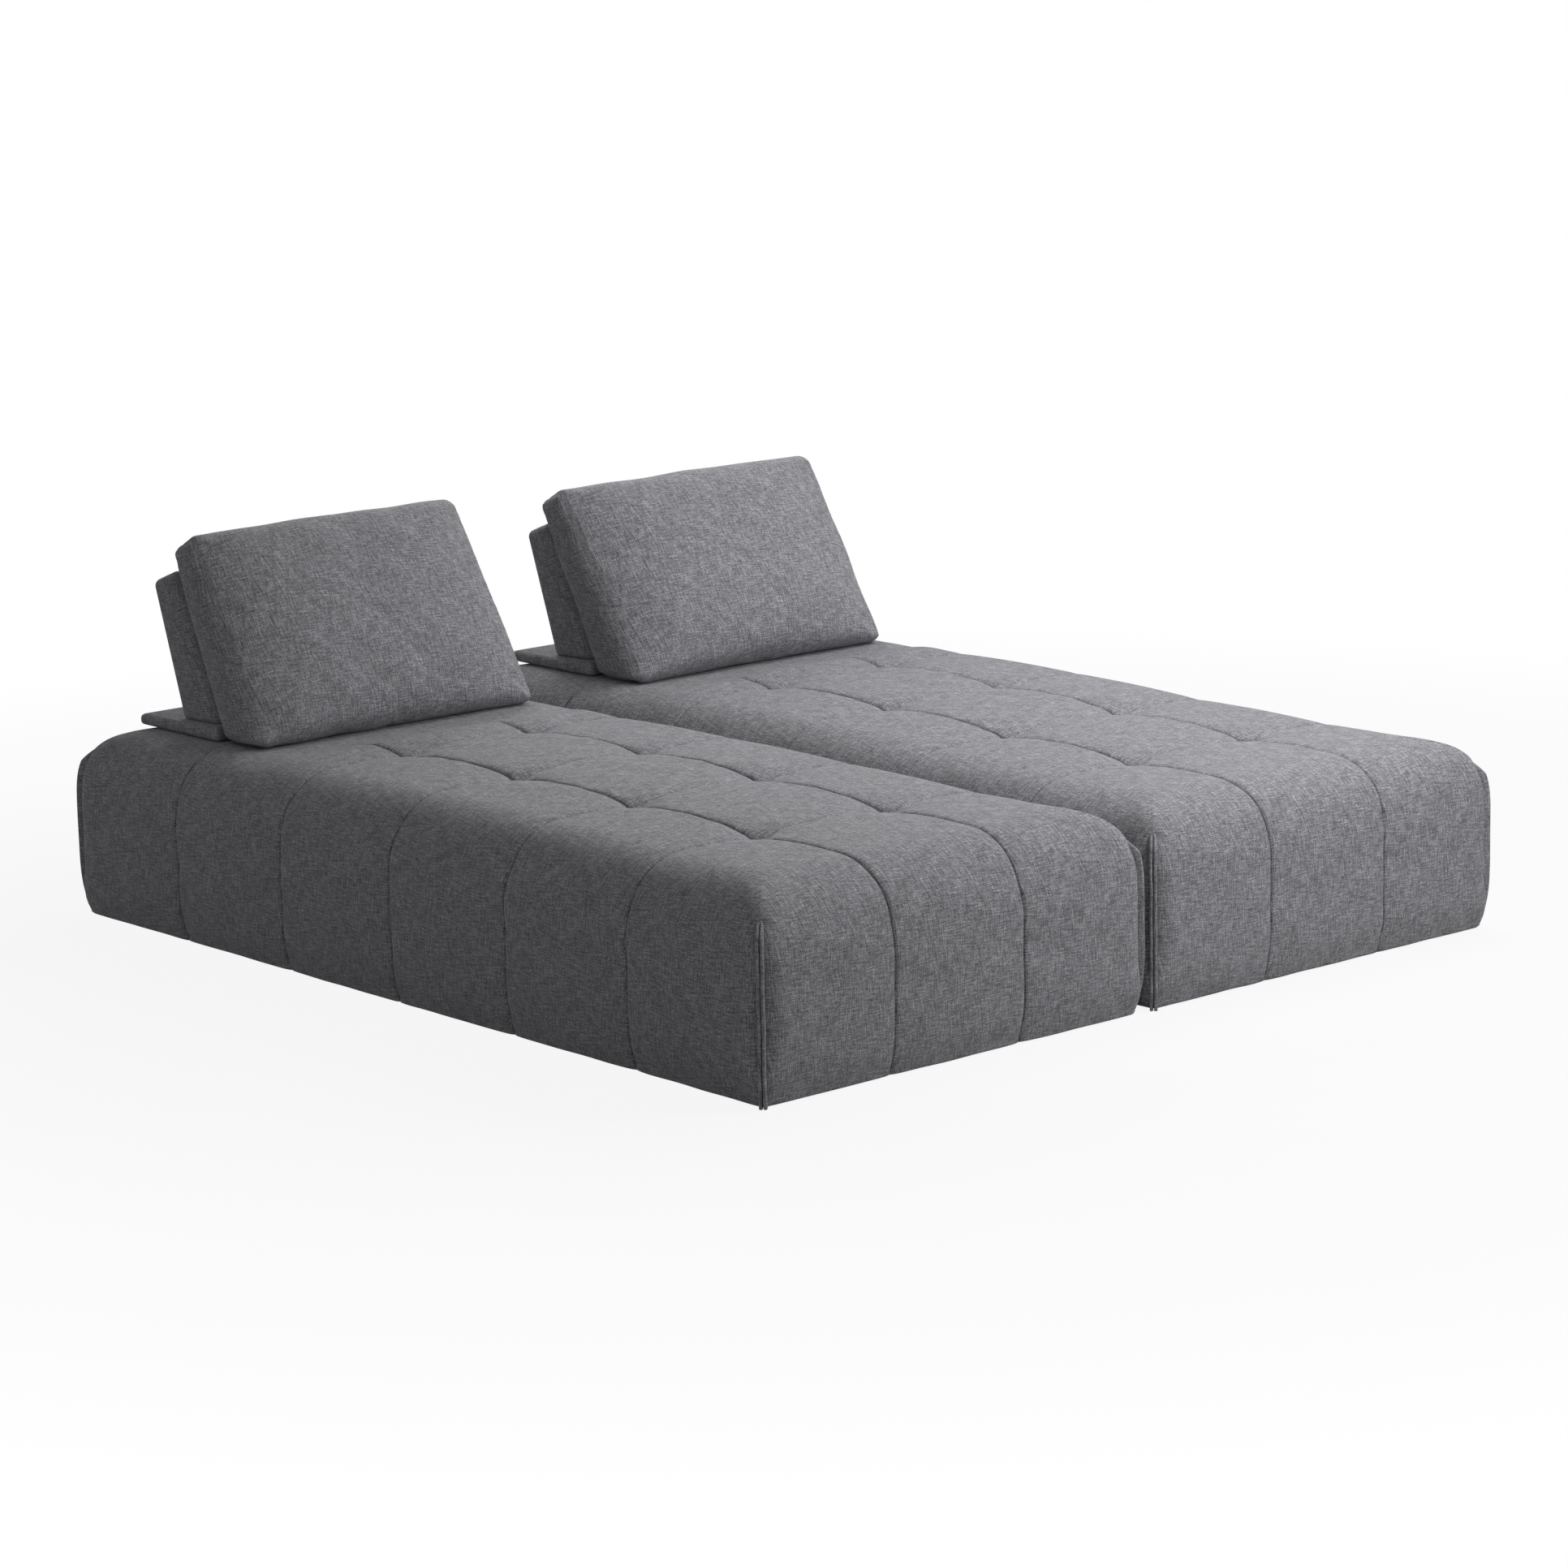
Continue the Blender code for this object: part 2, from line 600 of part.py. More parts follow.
def make_frame(tag, finishes, seat):
    """Two side rails, two end rails between them, and cross rails."""
    outer_x, outer_y = HALF_WIDTH - FRAME_INSET, HALF_LENGTH - FRAME_INSET
    middle_x, middle_y = outer_x - RAIL_THICKNESS / 2, outer_y - RAIL_THICKNESS / 2
    between = outer_x - RAIL_THICKNESS - FIT
    for side, name in ((-1, "left"), (1, "right")):
        shape = box_shape((-RAIL_THICKNESS / 2, -outer_y, 0.0), (RAIL_THICKNESS / 2, outer_y, RAIL_HEIGHT))
        place = (side * middle_x, 0.0, RAIL_BOTTOM)
        solid(f"side_rail_{name}_{tag}", *shape, finishes["timber"], seat, place)
    for side, name in ((-1, "front"), (1, "rear")):
        shape = box_shape((-between, -RAIL_THICKNESS / 2, 0.0), (between, RAIL_THICKNESS / 2, RAIL_HEIGHT))
        place = (0.0, side * middle_y, RAIL_BOTTOM)
        solid(f"end_rail_{name}_{tag}", *shape, finishes["timber"], seat, place)
    for side, name in ((-1, "front"), (1, "rear")):
        shape = box_shape(
            (-between, -CROSS_RAIL_THICKNESS / 2, 0.0),
            (between, CROSS_RAIL_THICKNESS / 2, RAIL_HEIGHT - CROSS_RAIL_DROP),
        )
        place = (0.0, side * CROSS_RAIL_SPACING / 2, RAIL_BOTTOM)
        solid(f"cross_rail_{name}_{tag}", *shape, finishes["timber"], seat, place)


def make_feet(tag, finishes, seat):
    """Low glides under the side rails, below the dust cover."""
    height = RAIL_BOTTOM - DUST_COVER_THICKNESS - 2 * FIT
    inset = HEM_OPENING_INSET + FIT + FOOT_MARGIN + FOOT_RADIUS
    rings = [
        (FOOT_RADIUS - FOOT_CHAMFER, 0.0),
        (FOOT_RADIUS, FOOT_CHAMFER),
        (FOOT_RADIUS, height),
    ]
    for side, side_name in ((-1, "left"), (1, "right")):
        for row in range(FOOT_ROWS):
            y = (HALF_LENGTH - inset) * (2 * row / (FOOT_ROWS - 1) - 1)
            name = f"foot_{side_name}_{row + 1}_{tag}"
            place = (side * (HALF_WIDTH - inset), y, 0.0)
            smooth(solid(name, *turned_shape(rings, FOOT_SIDES), finishes["plastic"], seat, place))


def make_seat(tag, finishes, seat):
    """The frame, its webbing, the foam, the tufted cover and the dust cover of one module."""
    make_frame(tag, finishes, seat)
    solid(f"webbing_{tag}", *webbing_shape(), finishes["webbing"], seat)
    foam = solid(f"seat_foam_{tag}", *foam_shape(0.0, FOAM_BOTTOM), finishes["foam"], seat)
    smooth(foam)
    opening_x, opening_y = HALF_WIDTH - HEM_OPENING_INSET, HALF_LENGTH - HEM_OPENING_INSET
    lining_x, lining_y = opening_x - FIT, opening_y - FIT
    top = RAIL_BOTTOM - FIT
    lining = box_shape((-lining_x, -lining_y, top - DUST_COVER_THICKNESS), (lining_x, lining_y, top))
    solid(f"dust_cover_{tag}", *lining, finishes["lining"], seat)
    cover = solid(f"seat_cover_{tag}", *seat_cover_shape(), finishes["cover"], seat)
    smooth(cover)
    for side_x in (-1, 1):
        for side_y in (-1, 1):
            name = f"flange_{side_x}_{side_y}_{tag}"
            flange = solid(name, *flange_shape(side_x, side_y), finishes["cover"], seat)
            cut(cover, flange, "UNION")
    hollow = solid(f"hollow_{tag}", *foam_shape(FIT, RAIL_BOTTOM - FIT), finishes["foam"], seat)
    cut(cover, hollow)
    mouth = box_shape((-opening_x, -opening_y, -OVERRUN), (opening_x, opening_y, RAIL_BOTTOM + OVERRUN))
    cut(cover, solid(f"mouth_{tag}", *mouth, finishes["foam"], seat))
    make_feet(tag, finishes, seat)


def upright_profile(clearance, bottom, top):
    """Profile of the steel uprights, which lie on the rear of the board with a clearance all round."""
    front = PANEL_SETBACK + BOARD_SETBACK + (BOARD_THICKNESS + FIT - clearance) / math.cos(BOARD_LEAN)
    front += math.tan(BOARD_LEAN) * (bottom - PANEL_BOTTOM)
    return leaning_slab(front, bottom, top, UPRIGHT_THICKNESS + 2 * clearance, BOARD_LEAN)


def make_base(tag, finishes, backrest):
    """The grip mat, the steel plate that weights the backrest, and the cover over them."""
    front = (BASE_DEPTH - PLATE_DEPTH) / 2
    half = PLATE_WIDTH / 2
    mat = box_shape((-half, front, 0.0), (half, front + PLATE_DEPTH, MAT_THICKNESS))
    solid(f"grip_mat_{tag}", *mat, finishes["grip"], backrest)
    plate = box_shape((-half, front, PLATE_BOTTOM), (half, front + PLATE_DEPTH, PLATE_TOP))
    solid(f"ballast_plate_{tag}", *plate, finishes["steel"], backrest)
    corners = [(0.0, BASE_FRONT_HEIGHT), (BASE_DEPTH, BASE_REAR_HEIGHT), (BASE_DEPTH, 0.0), (0.0, 0.0)]
    shape = padded_shape(
        BASE_WIDTH / 2, corners, BASE_EDGE_RADIUS, BASE_CROWN, 0.0, COARSE_FLAT_SHARES, COARSE_ARC_SHARES
    )
    cover = solid(f"base_cover_{tag}", *shape, finishes["cover"], backrest)
    smooth(cover)
    pocket = box_shape(
        (-half - FIT, front - FIT, -OVERRUN), (half + FIT, front + PLATE_DEPTH + FIT, PLATE_TOP + FIT)
    )
    cut(cover, solid(f"plate_pocket_{tag}", *pocket, finishes["foam"], backrest))
    for side in (-1, 1):
        profile = upright_profile(FIT, PLATE_TOP, BASE_FRONT_HEIGHT + OVERRUN)
        slot = prism_shape(profile, UPRIGHT_WIDTH / 2 + FIT, side * UPRIGHT_SPACING / 2)
        cut(cover, solid(f"upright_slot_{side}_{tag}", *slot, finishes["foam"], backrest))


def bolt_place(side):
    """Where a bolt's head meets its upright, from the origin of the backrest."""
    height = BOLT_HEIGHT
    profile = upright_profile(0.0, PLATE_TOP, height)
    return (side * UPRIGHT_SPACING / 2, profile[2][0] + FIT / math.cos(BOARD_LEAN), height)


def make_panel(tag, finishes, backrest):
    """The board on its two bolted uprights, the foam round it and the cover of the panel."""
    board_front = PANEL_SETBACK + BOARD_SETBACK
    board_top = PANEL_BOTTOM + BOARD_HEIGHT
    profile = leaning_slab(board_front, PANEL_BOTTOM, board_top, BOARD_THICKNESS, BOARD_LEAN)
    shape = prism_shape(profile, BOARD_WIDTH / 2)
    board = solid(f"panel_board_{tag}", *shape, finishes["plywood"], backrest)
    shank = UPRIGHT_THICKNESS + BOARD_THICKNESS / 2 + 2 * FIT
    head = [(BOLT_HEAD_RADIUS, -BOLT_HEAD_HEIGHT), (BOLT_HEAD_RADIUS, 0.0)]
    rings = [*head, (BOLT_RADIUS, 0.0), (BOLT_RADIUS, shank)]
    hole_rings = [(BOLT_RADIUS + FIT, -OVERRUN), (BOLT_RADIUS + FIT, shank + FIT)]
    for side, name in ((-1, "left"), (1, "right")):
        profile = upright_profile(0.0, PLATE_TOP + FIT, PLATE_TOP + UPRIGHT_HEIGHT)
        shape = prism_shape(profile, UPRIGHT_WIDTH / 2, side * UPRIGHT_SPACING / 2)
        upright = solid(f"upright_{name}_{tag}", *shape, finishes["steel"], backrest)
        place = bolt_place(side)
        turn = math.pi / 2 - BOARD_LEAN
        shape = turned_shape(rings, BOLT_SIDES)
        bolt = solid(f"upright_bolt_{name}_{tag}", *shape, finishes["bolt"], backrest, place)
        bolt.rotation_euler = (turn, 0.0, 0.0)
        smooth(bolt)
        shape = turned_shape(hole_rings, BOLT_SIDES)
        hole = solid(f"bolt_hole_{name}_{tag}", *shape, finishes["foam"], backrest, place)
        hole.rotation_euler = (turn, 0.0, 0.0)
        cut(upright, hole)
        cut(board, hole)
    make_panel_upholstery(tag, finishes, backrest)


def make_panel_upholstery(tag, finishes, backrest):
    """The foam with its pocket for the board, and the cover that is drawn over it from above."""
    corners = panel_corners()
    inner = extended(inset_corners(corners, PANEL_COVER_THICKNESS), PANEL_COVER_THICKNESS)
    shape = prism_shape(inner, PANEL_WIDTH / 2 - PANEL_COVER_THICKNESS)
    foam = solid(f"panel_foam_{tag}", *shape, finishes["foam"], backrest)
    front = PANEL_SETBACK + BOARD_SETBACK - FIT / math.cos(BOARD_LEAN) - math.tan(BOARD_LEAN) * OVERRUN
    depth = BOARD_THICKNESS + UPRIGHT_THICKNESS + BOLT_HEAD_HEIGHT + 4 * FIT
    pocket_top = PANEL_BOTTOM + BOARD_HEIGHT + FIT
    pocket = leaning_slab(front, PANEL_BOTTOM - OVERRUN, pocket_top, depth, BOARD_LEAN)
    shape = prism_shape(pocket, BOARD_WIDTH / 2 + FIT)
    cut(foam, solid(f"board_pocket_{tag}", *shape, finishes["foam"], backrest))
    shape = padded_shape(
        PANEL_WIDTH / 2, corners, PANEL_EDGE_RADIUS, PANEL_CROWN, 0.0, COARSE_FLAT_SHARES, FINE_ARC_SHARES
    )
    cover = solid(f"panel_cover_{tag}", *shape, finishes["cover"], backrest)
    smooth(cover)
    wall = PANEL_COVER_THICKNESS - FIT
    hollow = extended(inset_corners(corners, wall), wall + OVERRUN)
    shape = prism_shape(hollow, PANEL_WIDTH / 2 - wall)
    cut(cover, solid(f"panel_hollow_{tag}", *shape, finishes["foam"], backrest))


def cushion_shape(wall, radius, flat_shares, arc_shares):
    """The wedge of the back cushion, or the same wedge inside a wall."""
    corners = inset_corners(cushion_corners(), wall) if wall else cushion_corners()
    return padded_shape(
        CUSHION_WIDTH / 2 - wall,
        corners,
        radius,
        CUSHION_FRONT_CROWN,
        CUSHION_DRAWN_IN,
        flat_shares,
        arc_shares,
    )


def make_cushion(tag, finishes, cushion):
    """The boxed back cushion: its cover, the filled insert, and the zip near the rear of the underside."""
    shape = cushion_shape(0.0, CUSHION_EDGE_RADIUS, FINE_FLAT_SHARES, FINE_ARC_SHARES)
    cover = solid(f"cushion_cover_{tag}", *shape, finishes["cover"], cushion)
    smooth(cover)
    inner_radius = CUSHION_EDGE_RADIUS - CUSHION_COVER_THICKNESS
    shape = cushion_shape(CUSHION_COVER_THICKNESS, inner_radius, COARSE_FLAT_SHARES, COARSE_ARC_SHARES)
    cut(cover, solid(f"cushion_hollow_{tag}", *shape, finishes["fibre"], cushion))
    wall = CUSHION_COVER_THICKNESS + INSERT_CLEARANCE
    inner_radius -= INSERT_CLEARANCE
    shape = cushion_shape(wall, inner_radius, COARSE_FLAT_SHARES, COARSE_ARC_SHARES)
    insert = solid(f"cushion_insert_{tag}", *shape, finishes["fibre"], cushion)
    smooth(insert)
    rear = -CUSHION_EDGE_RADIUS
    half = ZIP_LENGTH / 2
    strip = box_shape((-half, rear - ZIP_WIDTH, 0.0), (half, rear, CUSHION_COVER_THICKNESS))
    solid(f"cushion_zip_{tag}", *strip, finishes["zip"], cushion)
    slot = box_shape(
        (-half - FIT, rear - ZIP_WIDTH - FIT, -OVERRUN),
        (half + FIT, rear + FIT, CUSHION_COVER_THICKNESS + FIT),
    )
    cut(cover, solid(f"zip_slot_{tag}", *slot, finishes["fibre"], cushion))


def clear_scene():
    """Removes whatever the file opened with."""
    for item in list(bpy.data.objects):
        bpy.data.objects.remove(item, do_unlink=True)


def main():
    """Both modules side by side, each with its backrest and cushion."""
    clear_scene()
    finishes = make_finishes()
    spacing = MODULE_WIDTH + MODULE_GAP
    for side, tag in ((-1, "a"), (1, "b")):
        seat = carrier(f"seat_{tag}_place", at=(side * spacing / 2, 0.0, 0.0))
        make_seat(tag, finishes, seat)
        backrest = carrier(f"backrest_{tag}_slide", seat, (0.0, BASE_FRONT, BACKREST_BOTTOM))
        make_base(tag, finishes, backrest)
        make_panel(tag, finishes, backrest)
        cushion = carrier(f"cushion_{tag}_slide", backrest, (0.0, cushion_rear(), 0.0))
        make_cushion(tag, finishes, cushion)


main()
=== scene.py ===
"""Looks of the modular sofa: two quilted seats, each with a weighted backrest and a loose back cushion.

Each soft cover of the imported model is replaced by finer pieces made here. The inner parts keep their solids.
"""

import logging
import math
from dataclasses import dataclass, field
from enum import Enum

import bpy
import numpy as np
from mathutils import Matrix, Vector


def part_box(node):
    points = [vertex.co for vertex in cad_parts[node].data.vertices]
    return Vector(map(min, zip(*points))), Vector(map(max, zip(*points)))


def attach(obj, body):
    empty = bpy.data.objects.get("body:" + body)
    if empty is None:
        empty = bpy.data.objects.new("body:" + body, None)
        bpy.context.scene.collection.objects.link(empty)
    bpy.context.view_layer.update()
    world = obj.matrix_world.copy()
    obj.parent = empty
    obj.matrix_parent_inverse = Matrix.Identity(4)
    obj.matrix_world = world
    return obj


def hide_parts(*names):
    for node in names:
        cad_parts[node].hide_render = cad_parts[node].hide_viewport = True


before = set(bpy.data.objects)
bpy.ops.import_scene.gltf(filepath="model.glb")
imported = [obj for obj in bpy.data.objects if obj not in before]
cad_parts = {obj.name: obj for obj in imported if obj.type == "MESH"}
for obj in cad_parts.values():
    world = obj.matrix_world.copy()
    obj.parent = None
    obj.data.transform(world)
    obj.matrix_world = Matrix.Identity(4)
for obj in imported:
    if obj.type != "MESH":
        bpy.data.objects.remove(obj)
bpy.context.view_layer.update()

LOG = logging.getLogger("sofa")
Array = np.ndarray
Object = bpy.types.Object
Mesh = bpy.types.Mesh
Material = bpy.types.Material
Tree = bpy.types.NodeTree
Node = bpy.types.Node
Socket = bpy.types.NodeSocket
Place = tuple[float, float, float]
Pair = tuple[float, float]
Profile = tuple[Pair, ...]
Inputs = dict[str | int, Socket | float | tuple[float, ...]]
Stops = list[tuple[float, str]]

CLOTH_MAP = "cloth"
QUARTER = math.pi / 2
TINY = 1e-9
# Where along a noise its darker and its lighter colour are reached.
NOISE_ENDS = (0.3, 0.7)
# The filling: how the cloth of a cushion's cover resists, and its step count.
FILLING = {
    "quality": 4,
    "mass": 0.35,
    "tension_stiffness": 20.0,
    "compression_stiffness": 6.0,
    "shear_stiffness": 4.0,
    "bending_stiffness": 0.6,
    "use_pressure": True,
}
FILLING_STEPS = 20


class Slot(Enum):
    """The record's material slot of the woven fabric, by name."""

    WOVEN = "woven_fabric"


class Face(Enum):
    """The faces of a soft block that one length of cloth covers, by axis and end of the block's lattice."""

    FRONT = (1, 0)
    REAR = (1, 1)
    BOTTOM = (2, 0)
    TOP = (2, 1)


# Shapes that every sub-assembly uses


@dataclass
class Skin:
    """A closed surface as whole arrays.

    Args:
        points: one row per point, in metres in the row frame.
        faces: one row of four point numbers per face, turned outwards.
        cloth: for each face and corner, the place on the uncut cloth in metres, along weft and warp.
        caps: flat closing faces with any number of corners.
    """

    points: Array
    faces: Array
    cloth: Array
    caps: list[Array] = field(default_factory=list)


def smooth_step(value: Array | float, start: float, stop: float) -> Array:
    """0 before start, 1 after stop, and 3t^2 - 2t^3 between them, where t is the share of the way."""
    share = np.clip((np.asarray(value, float) - start) / (stop - start), 0.0, 1.0)
    return share * share * (3.0 - 2.0 * share)


def fading(distance: Array, reach: Array | float) -> Array:
    """What is left at a distance: exp(-distance / reach)."""
    return np.exp(-distance / reach)


def bowl(share: Array) -> Array:
    """1 at 0, falling fast and then gently to 0 at 1 and beyond: 1 - sin(pi / 2 share)."""
    return 1.0 - np.sin(QUARTER * np.minimum(share, 1.0))


def rest_of(power: Array) -> Array:
    """1 - power, held between 0 and 1."""
    return np.clip(1.0 - power, 0.0, 1.0)


@dataclass(frozen=True)
class Fade:
    """A share or depth that fades away from a seam, an edge or a tuft.

    Args:
        depth: its value there.
        reach: the distance at which 1 / e of it is left.
    """

    depth: float
    reach: float

    def at(self, distance: Array) -> Array:
        """Its value at a distance: depth exp(-distance / reach)."""
        return self.depth * fading(distance, self.reach)


@dataclass(frozen=True)
class Wave:
    """Gentle uneven waves.

    Args:
        height: about their greatest height.
        length: their mean length.
    """

    height: float
    length: float
    sines: int = 6
    spread: Pair = (0.7, 1.4)

    def at(self, x: Array, y: Array | float, seed: int) -> Array:
        """The sum of some sines of nearly the same length in seeded directions, over the root of their count.

        Args:
            x: places along one direction.
            y: places along the other.
            seed: number that fixes the directions and phases.

        Returns:
            The height of the waves at each place.
        """
        shortest, longest = self.spread
        low, high = (0.0, 0.0, shortest), (math.pi, 2 * math.pi, longest)
        total = np.zeros(np.broadcast(x, y).shape)
        for turn, phase, stretch in np.random.default_rng(seed).uniform(low, high, (self.sines, 3)):
            along = (x * math.cos(turn) + y * math.sin(turn)) / (self.length * stretch)
            total += np.sin(2 * math.pi * along + phase)
        return self.height * (total / math.sqrt(self.sines))


def nearest(place: Array, seams: Array) -> Array:
    """The distance from each place to the nearest seam."""
    return np.min(np.abs(np.asarray(place)[..., None] - seams), axis=-1)


def drawn_over(place: Array, seams: Array, pinch: float, reach: float) -> Array:
    """Places with the cloth beside each seam drawn over its crease.

    A place at distance a from a seam moves towards it by pinch times (a / reach) e^(1 - a / reach).

    Args:
        place: places along one direction.
        seams: where its seams are.
        pinch: the furthest that the cloth is drawn.
        reach: the distance from the seam at which that happens.

    Returns:
        The new places.
    """
    for seam in seams:
        away = (place - seam) / reach
        place = place - pinch * away * np.exp(1.0 - np.abs(away))
    return place


def strips(here: Array, there: Array) -> Array:
    """The corners of the quads between two fields of points, from each row to the next."""
    corners = np.stack([here[:-1], here[1:], there[1:], there[:-1]], 2)
    return corners.reshape(-1, *corners.shape[2:])


def put(name: str, data: bpy.types.ID) -> Object:
    """Puts a mesh, lamp or camera into the scene as an object at the origin."""
    thing = bpy.data.objects.new(name, data)
    bpy.context.scene.collection.objects.link(thing)
    return thing


def new_piece(name: str, skin: Skin, finish: Material) -> Object:
    """Puts a skin into the scene as a smooth-shaded object at the origin.

    Args:
        name: the piece's name.
        skin: its surface.
        finish: its material.

    Returns:
        The new object.
    """
    mesh = bpy.data.meshes.new(name)
    faces = skin.faces.tolist() + [cap.tolist() for cap in skin.caps]
    mesh.from_pydata(skin.points.tolist(), [], faces)
    layer = mesh.uv_layers.new(name=CLOTH_MAP)
    cap_places = [skin.points[cap][:, :2] for cap in skin.caps]
    places = np.concatenate([skin.cloth.reshape(-1, 2), *cap_places])
    layer.data.foreach_set("uv", places.astype(np.float32).ravel())
    mesh.polygons.foreach_set("use_smooth", np.ones(len(faces), bool))
    mesh.materials.append(finish)
    mesh.update()
    return put(name, mesh)


def read(source: bpy.types.bpy_prop_collection, key: str, width: int = 3) -> Array:
    """One value of each element of a mesh's collection, as rows of the given width."""
    rows = np.empty(len(source) * width, np.float32)
    source.foreach_get(key, rows)
    return rows.reshape(-1, width).astype(float)


def reshape(mesh: Mesh, places: Array) -> None:
    """Moves a mesh's points to new places."""
    mesh.vertices.foreach_set("co", places.astype(np.float32).ravel())
    mesh.update()


def inflate(piece: Object, pressure: float, cap: float) -> None:
    """Fills a cover with Blender's cloth, held along its sewn seams, and keeps the result.

    Each point moves as the cloth does, but no further than the cap.

    Args:
        piece: the cover, with a vertex group "sewn" on its seams.
        pressure: how hard the filling presses.
        cap: the furthest that a point may move, in metres.
    """
    start = read(piece.data.vertices, "co")
    cloth = piece.modifiers.new("filling", "CLOTH")
    settings = cloth.settings
    for name, value in FILLING.items():
        setattr(settings, name, value)
    settings.uniform_pressure_force = pressure
    settings.effector_weights.gravity = 0.0
    settings.vertex_group_mass = "sewn"
    cloth.point_cache.frame_start = 1
    cloth.point_cache.frame_end = FILLING_STEPS
    scene = bpy.context.scene
    for step in range(1, FILLING_STEPS + 1):
        scene.frame_set(step)
    graph = bpy.context.evaluated_depsgraph_get()
    moved = read(piece.evaluated_get(graph).data.vertices, "co") - start
    length = np.linalg.norm(moved, axis=1, keepdims=True)
    moved *= np.minimum(1.0, cap / np.maximum(length, TINY))
    piece.modifiers.remove(cloth)
    scene.frame_set(1)
    reshape(piece.data, start + moved)


def refine(piece: Object) -> None:
    """Applies one level of subdivision to a piece's mesh."""
    modifier = piece.modifiers.new("finer", "SUBSURF")
    modifier.levels = modifier.render_levels = 1
    graph = bpy.context.evaluated_depsgraph_get()
    finer = bpy.data.meshes.new_from_object(piece.evaluated_get(graph))
    piece.modifiers.remove(modifier)
    coarse = piece.data
    piece.data = finer
    finer.name = piece.name
    bpy.data.meshes.remove(coarse)


# Finishes


def linear(code: str) -> tuple[float, float, float, float]:
    """The linear colour of an sRGB hex value, by the standard's curve."""
    srgb = np.array([int(code[k : k + 2], 16) for k in (1, 3, 5)]) / 255.0
    rgb = np.where(srgb <= 0.04045, srgb / 12.92, ((srgb + 0.055) / 1.055) ** 2.4)
    return (*rgb.tolist(), 1.0)


def add(tree: Tree, kind: str, inputs: Inputs | None = None, **settings: object) -> Node:
    """Adds one node with its settings, and sets or links its inputs.

    Args:
        tree: the material's node tree.
        kind: the node's type, without the words that all types start with.
        inputs: values or other nodes' outputs, by socket name or number.
        settings: the node's own properties.

    Returns:
        The new node.
    """
    node = tree.nodes.new("ShaderNode" + kind)
    for name, value in settings.items():
        setattr(node, name, value)
    for key, value in (inputs or {}).items():
        if isinstance(value, Socket):
            tree.links.new(value, node.inputs[key])
        else:
            node.inputs[key].default_value = value
    return node


def reckon(tree: Tree, operation: str, *values: Socket | float) -> Socket:
    """The result of one Math node."""
    return add(tree, "Math", dict(enumerate(values)), operation=operation).outputs[0]


def blank(name: str) -> tuple[Material, Tree, Node]:
    """A new material, with its node tree and its Principled shader, and nothing else but the output."""
    material = bpy.data.materials.new(name)
    material.use_nodes = True
    tree = material.node_tree
    tree.nodes.clear()
    shader = add(tree, "BsdfPrincipled")
    add(tree, "OutputMaterial", {"Surface": shader.outputs["BSDF"]})
    return material, tree, shader


def finish_shader(shader: Node, pattern: Socket, stops: Stops, values: dict[str, float]) -> None:
    """Colours a shader along a pattern and sets its other values.

    Args:
        shader: the Principled shader.
        pattern: what the colour follows.
        stops: places along the pattern, rising, each with its sRGB hex value.
        values: the shader's plain values, by socket name.
    """
    tree = shader.id_data
    colours = add(tree, "ValToRGB", {0: pattern})
    elements = colours.color_ramp.elements
    while len(elements) < len(stops):
        elements.new(0.5)
    for element, (place, code) in zip(elements, stops):
        element.position = place
        element.color = linear(code)
    tree.links.new(colours.outputs[0], shader.inputs["Base Color"])
    for name, value in values.items():
        shader.inputs[name].default_value = value


def emboss(shader: Node, height: Socket, depth: float) -> None:
    """Lets a pattern stand in slight relief, depth metres high."""
    tree = shader.id_data
    bump = add(tree, "Bump", {"Height": height, "Distance": depth, "Strength": 0.5})
    tree.links.new(bump.outputs[0], shader.inputs["Normal"])


